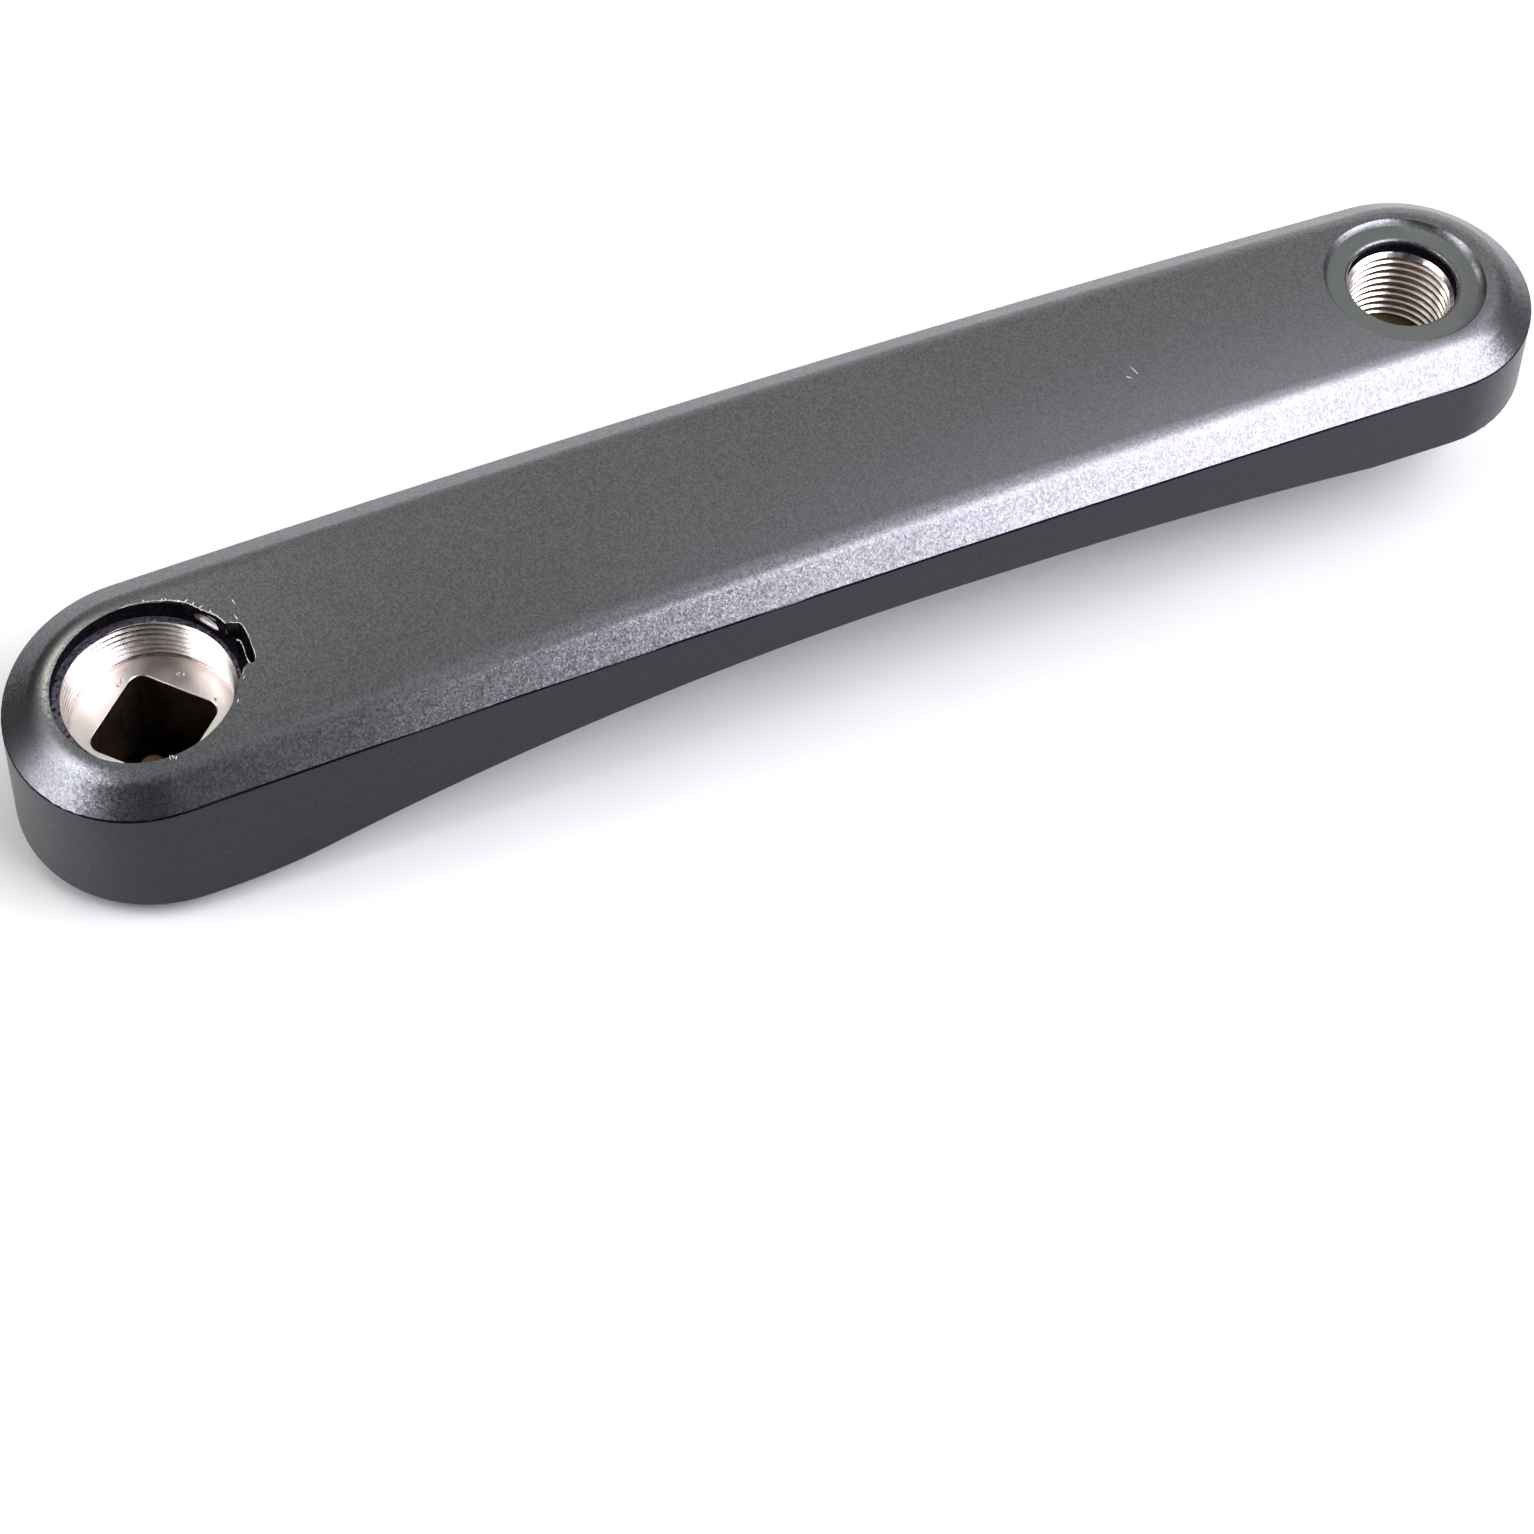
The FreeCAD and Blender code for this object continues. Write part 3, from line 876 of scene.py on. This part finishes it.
    def wear(self, body: Piece) -> None:
        """Wear the rim: a gap with a bare facet, and a bitten lip beside a thin blade of paint.

        Args:
            body: the arm.
        """
        # The gap, the bite and the blade take the black finish: painted shadow in the hollows of
        # the worn rim.
        gap = prism("worn_rim", traced(self.worn_rim), self.gap_low, self.cut_top)
        combine(body, gap, Finish.BLACK_WALL)
        radius, angle, height = self.facet_spot
        middle = Vector((*around(radius, angle), height))
        facet = sliver("bare_facet", middle, angle + 90, self.facet_lift, *self.facet_size)
        combine(body, facet, Finish.WORN)
        bite = prism("lip_bite", traced(self.lip_bite), self.bite_low, self.cut_top)
        combine(body, bite, Finish.BLACK_WALL)
        fill = prism("corner_fill", traced(self.corner_fill), *self.fill_heights)
        combine(body, fill, Finish.PAINT, "UNION")
        half = self.blade_width / 2
        outline = traced([(radius - half, angle) for radius, angle in self.blade])
        outline += traced([(radius + half, angle) for radius, angle in reversed(self.blade)])
        blade = prism("lip_blade", outline, *self.blade_heights)
        combine(body, blade, Finish.BLACK_WALL, "UNION")

    def scatter(self, body: Piece) -> None:
        """Leave flakes and burrs of bare metal along the worn edges, and chips by the socket.

        Args:
            body: the arm.
        """
        chance = random.Random(self.seed)
        for number, (thickness, line) in enumerate(self.beads):
            spots = [self.face.on_face(*spot) for spot in traced(line)]
            combine(body, bead(f"bead_{number}", spots, thickness, chance), Finish.WORN, "UNION")
        for number, (x, y, heading, lift, length) in enumerate(self.burrs):
            spot = self.face.on_face(x, y)
            burr = sliver(f"burr_{number}", spot, heading, lift, length, self.burr_width)
            combine(body, burr, Finish.WORN, "UNION")
        for number, (x, y, heading, length) in enumerate(self.chips):
            spot = Vector((x, y, self.floor + self.chip_rise))
            chip = sliver(f"chip_{number}", spot, heading, self.chip_lift, length, self.chip_width)
            combine(body, chip, Finish.WORN, "UNION")


@dataclass(frozen=True)
class PedalEnd:
    """Cuts at the pedal end: the pedal's thread and the round rim of its relief."""

    centre_x: float = 170.0
    thread: Thread = Thread("pedal_tap", 6.56, 7.15, 1.27, 14.0, 27.9, 170.0, left_hand=True)
    ledge: float = 27.8
    face: float = 29.8
    relief_radius: float = 7.205
    rim_round: float = 0.55
    rim_steps: int = 8
    rim_above: float = 0.5
    dish_wall: Spot = (9.88, 10.92)
    dish_tilt: Triple = (8.0, 22.0, 46.0)
    dish_flattest: float = 0.94

    def carve_into(self, body: Piece) -> None:
        """Cut the thread and the rim into the arm.

        Args:
            body: the arm.
        """
        combine(body, self.thread.tap(), Finish.MACHINED)
        low, top = self.face - self.rim_round, self.face + self.rim_above
        profile = [(0.0, low), (self.relief_radius, low)]
        for step in range(1, self.rim_steps + 1):
            turn = math.radians(90 * step / self.rim_steps)
            profile.append((self.relief_radius + self.rim_round * (1 - math.cos(turn)),
                            low + self.rim_round * math.sin(turn)))
        profile += [(profile[-1][0], top), (0.0, top)]
        combine(body, turned("pedal_rim", profile, self.centre_x), Finish.PAINT)

    def on_dish_wall(self, centre: Vector, normal: Vector) -> bool:
        """Whether a face of the solid is part of the dish's sloping wall.

        Args:
            centre: middle of the face, in millimetres.
            normal: its outward direction.

        Returns:
            True if it is.
        """
        inner, outer = self.dish_wall
        radius = math.hypot(centre.x - self.centre_x, centre.y)
        sloping = 0.0 < normal.z < self.dish_flattest
        return inner < radius < outer and centre.z > self.ledge and sloping

    def dish_normal(self, point: Vector) -> Vector:
        """Normal of the dish's hollow wall, which steepens from the spot face to the rim.

        Args:
            point: a place on the wall, in millimetres.

        Returns:
            The unit normal.
        """
        inner, outer = self.dish_wall
        out = Vector((point.x - self.centre_x, point.y, 0.0))
        share = min(max((out.length - inner) / (outer - inner), 0.0), 1.0)
        least, more, most = self.dish_tilt
        foot = least + more * abs(out.x) / out.length
        tilt = math.radians(foot + (most - foot) * share)
        return UP * math.cos(tilt) - out.normalized() * math.sin(tilt)


@dataclass(frozen=True)
class Zone:
    """A ring round an upright axis, between two heights, whose faces have one finish."""

    finish: Finish
    centre_x: float = 0.0
    inner: float = -math.inf
    outer: float = math.inf
    low: float = -math.inf
    high: float = math.inf
    walls_only: bool = False
    steepest: float = 0.5

    def holds(self, centre: Vector, normal: Vector) -> bool:
        """Whether the zone has a face with this middle and direction.

        Args:
            centre: middle of the face, in millimetres.
            normal: its outward direction.

        Returns:
            True if it has.
        """
        radius = math.hypot(centre.x - self.centre_x, centre.y)
        inside = self.inner < radius < self.outer and self.low < centre.z < self.high
        return inside and (not self.walls_only or abs(normal.z) < self.steepest)


@dataclass(frozen=True)
class CrankArm:
    """The whole arm as one piece.

    The first zone that holds a face gives its finish. Beyond the reach of both ends' cuts, which
    is an axis and a radius each, steep faces are side walls in a darker copy of the paint, which is
    painted shade, and faces that turn from the bevel into the wall are the crease in near-black
    paint, a painted dark reflection. A scratch is its place in plan, heading and length.
    """

    face: OuterFace = OuterFace()
    spindle: SpindleEnd = SpindleEnd(OuterFace())
    pedal: PedalEnd = PedalEnd()
    zones: tuple[Zone, ...] = (
        Zone(Finish.SEAT, inner=7.0, high=0.6),
        # Bore walls in black: dark paint, darkened as painted shade.
        Zone(Finish.BLACK_WALL, outer=13.7, low=21.6, walls_only=True),
        Zone(Finish.BLACK_WALL, outer=13.7, low=21.6, high=22.4),
        Zone(Finish.LEDGE, outer=11.7, low=21.0, high=21.6),
        Zone(Finish.SOCKET, outer=9.5, high=14.4),
        Zone(Finish.FLOOR, outer=10.6, high=14.6),
        Zone(Finish.MACHINED, outer=11.0, high=21.6),
        # The pedal's relief wall in black: dark paint, darkened as painted shade.
        Zone(Finish.BLACK_WALL, 170.0, outer=7.3, low=27.85, walls_only=True),
        Zone(Finish.MACHINED, 170.0, outer=7.4, high=27.85),
        Zone(Finish.SPOT_FACE, 170.0, outer=9.95, low=29.0),
    )
    cut_reaches: tuple[Spot, ...] = ((0.0, 13.7), (170.0, 11.6))
    side_steepest: float = 0.1
    crease_margin: float = 0.02
    bevel_angle: float = 5.0
    smooth_angle: float = 30.0
    scratch_lift: float = 2.0
    scratch_width: float = 0.11
    scratches: tuple[Row, ...] = (
        (130.3, -1.8, -76, 2.2), (129.2, -2.6, -40, 0.9), (13.2, 6.9, 100, 1.4))

    def build(self, materials: Sequence[Material]) -> Piece:
        """Make the arm.

        Args:
            materials: one material for each Finish, in order.

        Returns:
            The finished piece.
        """
        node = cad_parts["crank_arm"]
        bpy.ops.object.select_all(action="DESELECT")
        body = bpy.data.objects.new("arm_body", node.data.copy())
        bpy.context.scene.collection.objects.link(body)
        hold(body)
        bpy.ops.object.mode_set(mode="EDIT")
        bpy.ops.mesh.select_all(action="SELECT")
        bpy.ops.mesh.customdata_custom_splitnormals_clear()
        bpy.ops.mesh.remove_doubles(threshold=MERGE)
        bpy.ops.object.mode_set(mode="OBJECT")
        body.data.materials.clear()
        for material in materials:
            body.data.materials.append(material)
        for face in body.data.polygons:
            face.material_index = self.finish_of(face.center / MM, face.normal).value
        self.spindle.carve_into(body)
        self.pedal.carve_into(body)
        for number, (x, y, heading, length) in enumerate(self.scratches):
            scratch = sliver(f"scratch_{number}", self.face.on_face(x, y), heading,
                             self.scratch_lift, length, self.scratch_width)
            combine(body, scratch, Finish.WORN)
        self.smooth(body)
        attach(body, "root")
        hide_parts("crank_arm")
        return body

    def finish_of(self, centre: Vector, normal: Vector) -> Finish:
        """Finish of a face of the solid.

        Args:
            centre: middle of the face, in millimetres.
            normal: its outward direction.

        Returns:
            The finish that shows there.
        """
        for zone in self.zones:
            if zone.holds(centre, normal):
                return zone.finish
        if any(math.hypot(centre.x - axis, centre.y) <= reach for axis, reach in self.cut_reaches):
            return Finish.PAINT
        # Steep faces take the darker side paint: painted shade.
        if normal.z < self.side_steepest:
            return Finish.SIDE_PAINT
        # Faces that turn from the bevel into the wall get the near-black crease finish: painted
        # shade.
        share = min(max(centre.x / self.face.end_centre, 0.0), 1.0)
        _, fall = self.face.section(share, self.face.half_width(share))
        if normal.z < 1 / math.hypot(1.0, fall) - self.crease_margin:
            true = self.face.normal_at(centre)
            if true is None or true.dot(normal) < math.cos(math.radians(self.bevel_angle)):
                return Finish.EDGE_PAINT
        return Finish.PAINT

    def smooth(self, body: Piece) -> None:
        """Shade the arm smooth, with the true normals of the outer face and the dish's wall.

        Args:
            body: the arm.
        """
        hold(body)
        bpy.ops.object.shade_smooth_by_angle(angle=math.radians(self.smooth_angle))
        apply_modifier(body, "WEIGHTED_NORMAL", keep_sharp=True, mode="FACE_AREA_WITH_ANGLE")
        mesh = body.data
        true = [self.face.normal_at(vertex.co / MM) for vertex in mesh.vertices]
        corners = [corner.vector.copy() for corner in mesh.corner_normals]
        limit = math.cos(math.radians(self.smooth_angle))
        for face in mesh.polygons:
            on_dish = self.pedal.on_dish_wall(face.center / MM, face.normal)
            in_crease = face.material_index == Finish.EDGE_PAINT.value
            for corner in face.loop_indices:
                vertex = mesh.loops[corner].vertex_index
                normal = true[vertex]
                if on_dish:
                    corners[corner] = self.pedal.dish_normal(mesh.vertices[vertex].co / MM)
                elif normal is not None and normal.dot(face.normal) > limit and not in_crease:
                    corners[corner] = normal
        mesh.normals_split_custom_set(corners)


def direction(azimuth: float, elevation: float) -> Vector:
    """Direction from the arm.

    Args:
        azimuth: angle from -Y towards +X, in degrees.
        elevation: angle above the floor, in degrees.

    Returns:
        The unit direction.
    """
    turn, rise = math.radians(azimuth), math.radians(elevation)
    plan = Vector((math.sin(turn), -math.cos(turn), 0.0))
    return plan * math.cos(rise) + UP * math.sin(rise)


@dataclass(frozen=True)
class SoftBox:
    """One soft rectangular light, aimed at the arm."""

    name: str
    azimuth: float
    elevation: float
    distance: float
    width: float
    height: float
    power: float
    colour: Triple

    def place(self, target: Vector) -> None:
        """Put the light up.

        Args:
            target: the place that it looks at, in metres.
        """
        light = bpy.data.lights.new(self.name, "AREA")
        light.shape = "RECTANGLE"
        light.size, light.size_y = self.width, self.height
        light.energy, light.color = self.power, self.colour
        way = direction(self.azimuth, self.elevation)
        lamp = bpy.data.objects.new(self.name, light)
        bpy.context.scene.collection.objects.link(lamp)
        lamp.location = target + way * self.distance
        lamp.rotation_mode = "QUATERNION"
        lamp.rotation_quaternion = way.to_track_quat("Z", "Y")


@dataclass(frozen=True)
class SkyPatch:
    """One soft round patch of the room, brighter or darker than the rest."""

    azimuth: float
    elevation: float
    inner: float
    outer: float
    colour: Colour

    def over(self, sheet: NodeSheet, way: Socket, below: Any) -> Socket:
        """Lay the patch over the sky so far.

        Args:
            sheet: the world's sheet.
            way: direction that is looked at.
            below: colour of the sky so far.

        Returns:
            The new colour of the sky.
        """
        middle = direction(self.azimuth, self.elevation)
        angle = sheet.math("ARCCOSINE", sheet.vector("DOT_PRODUCT", way, middle))
        share = sheet.ease(angle, math.radians(self.outer), math.radians(self.inner))
        return sheet.mix(share, below, self.colour)


@dataclass(frozen=True)
class ShadeCard:
    """A round dark card under a hole: painted shade, standing in for the shadowed ground seen
    through it.

    Its two tones change at the edge of a spot, or with noise if it has none.
    """

    name: str
    centre_x: float
    radius: float
    height: float
    tones: tuple[Colour, Colour]
    spot: Triple | None = None
    spot_edge: Spot = (1.4, 1.7)
    corners: int = 48

    def lay(self) -> None:
        """Lay the card down."""
        bpy.ops.object.select_all(action="DESELECT")
        centre = (self.centre_x * MM, 0.0, self.height * MM)
        bpy.ops.mesh.primitive_circle_add(vertices=self.corners, radius=self.radius * MM,
                                          fill_type="NGON", location=centre)
        card = bpy.context.active_object
        card.name = self.name
        bpy.ops.object.transform_apply(location=True)
        # The card's two tones are painted shade: near-black or dark brown ground, with a small
        # brown spot on the socket's card.
        material, sheet, shader, place = new_material(self.name + "_dark_shade")
        noise = sheet.add("ShaderNodeTexNoise", {"Vector": place, "Scale": 900.0, "Detail": 3.0})
        share = noise.outputs[0]
        if self.spot is not None:
            away = sheet.vector("LENGTH", sheet.vector("SUBTRACT", place, Vector(self.spot) * MM))
            share = sheet.span(away, *(edge * MM for edge in self.spot_edge))
        sheet.give(shader, {"Base Color": sheet.mix(share, *self.tones),
                            "Roughness": sheet.span(noise.outputs[0], *NOISE_RANGE, 0.85, 0.95),
                            "Specular IOR Level": 0.0})
        card.data.materials.append(material)


@dataclass(frozen=True)
class Studio:
    """Pale floor, dark cards of painted shade under the holes, soft lights and the camera."""

    target: Vector = Vector((0.085, 0.0, 0.02))
    floor_size: float = 3.0
    floor_tones: tuple[Colour, Colour] = ((0.63, 0.63, 0.63, 1), (0.66, 0.66, 0.66, 1))
    camera_place: Triple = (-0.023823, -0.244594, 0.367458)
    camera_right: Triple = (0.930632, -0.365227, 0.023097)
    camera_down: Triple = (-0.279612, -0.750358, -0.598983)
    camera_ahead: Triple = (0.236095, 0.550975, -0.800429)
    lens: float = 80.78
    sensor: float = 36.0
    shift: float = -0.1395
    near_clip: float = 0.01
    boxes: tuple[SoftBox, ...] = (
        SoftBox("box_right", 49.2, 45.2, 0.9, 0.66, 0.71, 14.2, (0.95, 0.94, 1.0)),
        SoftBox("box_left", -95.0, 36.5, 0.9, 0.40, 0.48, 4.2, (0.95, 0.94, 1.0)),
        SoftBox("box_high", -113.0, 49.0, 0.9, 0.26, 0.21, 1.0, (0.95, 0.94, 1.0)),
        SoftBox("box_window", -154.0, 39.0, 0.9, 0.165, 0.18, 0.84, (0.95, 1.0, 0.78)),
    )
    # Cards of painted shade: dark ground under the socket and under the pedal hole.
    cards: tuple[ShadeCard, ...] = (
        ShadeCard("socket_shade_card", 0.0, 9.0, 0.03, ((0.30, 0.22, 0.13, 1), (0.003, 0.003, 0.003, 1)),
             spot=(-0.75, 4.2, 0.0)),
        ShadeCard("pedal_shade_card", 170.0, 7.2, 15.5, ((0.12, 0.08, 0.04, 1), (0.24, 0.17, 0.09, 1))),
    )
    sky_way: Triple = (0.0, 0.8, 0.6)
    sky_range: Spot = (0.1, 0.7)
    sky_dim: Colour = (0.01, 0.01, 0.013, 1)
    sky_bright: Colour = (0.80, 0.82, 0.77, 1)
    backdrop: Colour = (0.92, 0.92, 0.92, 1)
    patches: tuple[SkyPatch, ...] = (
        SkyPatch(-142.0, 5.0, 17.0, 44.0, (0.01, 0.01, 0.012, 1)),
        SkyPatch(95.7, 21.0, 13.0, 31.0, (0.27, 0.27, 0.29, 1)),
        SkyPatch(138.0, 2.0, 4.6, 36.0, (1.8, 1.85, 1.72, 1)),
        SkyPatch(108.0, 66.0, 6.0, 27.0, (3.0, 3.0, 3.1, 1)),
        SkyPatch(-160.0, 74.0, 3.6, 29.0, (0.48, 0.49, 0.46, 1)),
    )

    def build(self) -> None:
        """Put up the floor, the cards, the sky, the lights and the camera."""
        self.floor()
        for card in self.cards:
            card.lay()
        self.sky()
        for box in self.boxes:
            box.place(self.target)
        self.camera()
        bpy.context.scene.view_settings.view_transform = "Standard"

    def floor(self) -> None:
        """Lay the floor."""
        bpy.ops.object.select_all(action="DESELECT")
        bpy.ops.mesh.primitive_plane_add(size=self.floor_size)
        floor = bpy.context.active_object
        floor.name = "floor"
        material, sheet, shader, place = new_material("pale_floor")
        noise = sheet.add("ShaderNodeTexNoise", {"Vector": place, "Scale": 60.0, "Detail": 4.0})
        sheet.give(shader, {"Base Color": sheet.mix(noise.outputs[0], *self.floor_tones),
                            "Roughness": sheet.span(noise.outputs[0], *NOISE_RANGE, 0.6, 0.7)})
        floor.data.materials.append(material)

    def sky(self) -> None:
        """Surround the scene with soft light: dim in front, brighter behind, with patches."""
        world = bpy.data.worlds.new("soft_room")
        bpy.context.scene.world = world
        world.use_nodes = True
        sheet = NodeSheet(world.node_tree)
        way = sheet.add("ShaderNodeTexCoord").outputs["Generated"]
        along = sheet.vector("DOT_PRODUCT", way, self.sky_way)
        colour = sheet.mix(sheet.ease(along, *self.sky_range), self.sky_dim, self.sky_bright)
        for patch in self.patches:
            colour = patch.over(sheet, way, colour)
        background = world.node_tree.nodes["Background"]
        seen = sheet.add("ShaderNodeLightPath").outputs["Is Camera Ray"]
        sheet.give(background, {"Color": sheet.mix(seen, colour, self.backdrop), "Strength": 1.0})

    def camera(self) -> None:
        """Set the camera up at the photograph's viewing angle."""
        lens = bpy.data.cameras.new("camera")
        lens.lens, lens.sensor_width, lens.shift_y = self.lens, self.sensor, self.shift
        lens.clip_start = self.near_clip
        camera = bpy.data.objects.new("camera", lens)
        bpy.context.scene.collection.objects.link(camera)
        axes = [Vector(self.camera_right), -Vector(self.camera_down), -Vector(self.camera_ahead)]
        turn = Matrix(axes).transposed().to_4x4()
        camera.matrix_world = Matrix.Translation(self.camera_place) @ turn
        bpy.context.scene.camera = camera


def finishes() -> list[Material]:
    """Materials of the arm, in the order of Finish.

    Returns:
        One material for each finish.
    """
    effects = Effects.build()
    chosen = {
        Finish.PAINT: Paint(
            "grey_metallic_paint", dark=(0.096, 0.097, 0.105, 1), light=(0.160, 0.162, 0.175, 1),
            roughness=0.29, flake_size=0.22, flake_tilt=0.052),
        # The arm's paint, darker for the side walls: painted shade.
        Finish.SIDE_PAINT: Paint(
            "painted_shade_side_coat", dark=(0.029, 0.029, 0.036, 1), light=(0.037, 0.037, 0.045, 1),
            roughness=0.33, flake_size=0.22, flake_tilt=0.05),
        # Black, with no reflection: dark paint and painted shade.
        Finish.BLACK_WALL: Paint(
            "black_paint_and_painted_shade", dark=(0.002, 0.002, 0.003, 1), light=(0.012, 0.010, 0.015, 1),
            roughness=0.6, flake_size=0.3, flake_tilt=0.05, metallic=0.0, specular=0.0),
        Finish.LEDGE: Paint(
            "rough_ledge", dark=(0.002, 0.0015, 0.003, 1), light=(0.1, 0.086, 0.122, 1),
            roughness=0.35, flake_size=0.4, flake_tilt=0.7, metallic=0.3),
        Finish.MACHINED: Metal(
            "machined_aluminium", dark=(0.68, 0.61, 0.59, 1), light=(0.82, 0.75, 0.73, 1),
            roughness=0.2, line_pitch=0.12, line_depth=0.002, grain=1.2),
        Finish.FLOOR: Metal(
            "bore_floor", dark=(0.67, 0.63, 0.60, 1), light=(0.77, 0.73, 0.70, 1),
            roughness=0.30, line_pitch=0.25, line_depth=0.004, grain=2.5),
        Finish.SOCKET: Metal(
            "dark_socket", dark=(0.14, 0.095, 0.08, 1), light=(0.21, 0.14, 0.12, 1),
            roughness=0.4, line_pitch=0.5, line_depth=0.004, grain=1.5),
        Finish.SPOT_FACE: Paint(
            "matte_spot_face", dark=(0.098, 0.105, 0.101, 1), light=(0.125, 0.132, 0.128, 1),
            roughness=0.5, flake_size=0.25, flake_tilt=0.1),
        Finish.WORN: Metal(
            "worn_metal", dark=(0.42, 0.37, 0.38, 1), light=(0.85, 0.78, 0.79, 1),
            roughness=0.45, line_pitch=0.3, line_depth=0.01, grain=0.5, metallic=0.6),
        Finish.SEAT: Metal(
            "machined_seat", dark=(0.62, 0.60, 0.58, 1), light=(0.75, 0.73, 0.71, 1),
            roughness=0.28, line_pitch=0.15, line_depth=0.006, grain=3.0),
        # Near-black crease: a painted dark reflection, not a paint of its own.
        Finish.EDGE_PAINT: Paint(
            "crease_painted_shade", dark=(0.006, 0.004, 0.013, 1), light=(0.013, 0.009, 0.024, 1),
            roughness=0.35, flake_size=0.25, flake_tilt=0.05),
    }
    return [chosen[finish].material(effects) for finish in Finish]


def main() -> None:
    """Build the scene, piece by piece."""
    logging.basicConfig(level=logging.INFO, format="%(name)s: %(message)s")
    arm = CrankArm().build(finishes())
    LOG.info("%s: %d faces", arm.name, len(arm.data.polygons))
    Studio().build()
    LOG.info("studio: floor, lights and camera")


if __name__ == "__main__":
    main()
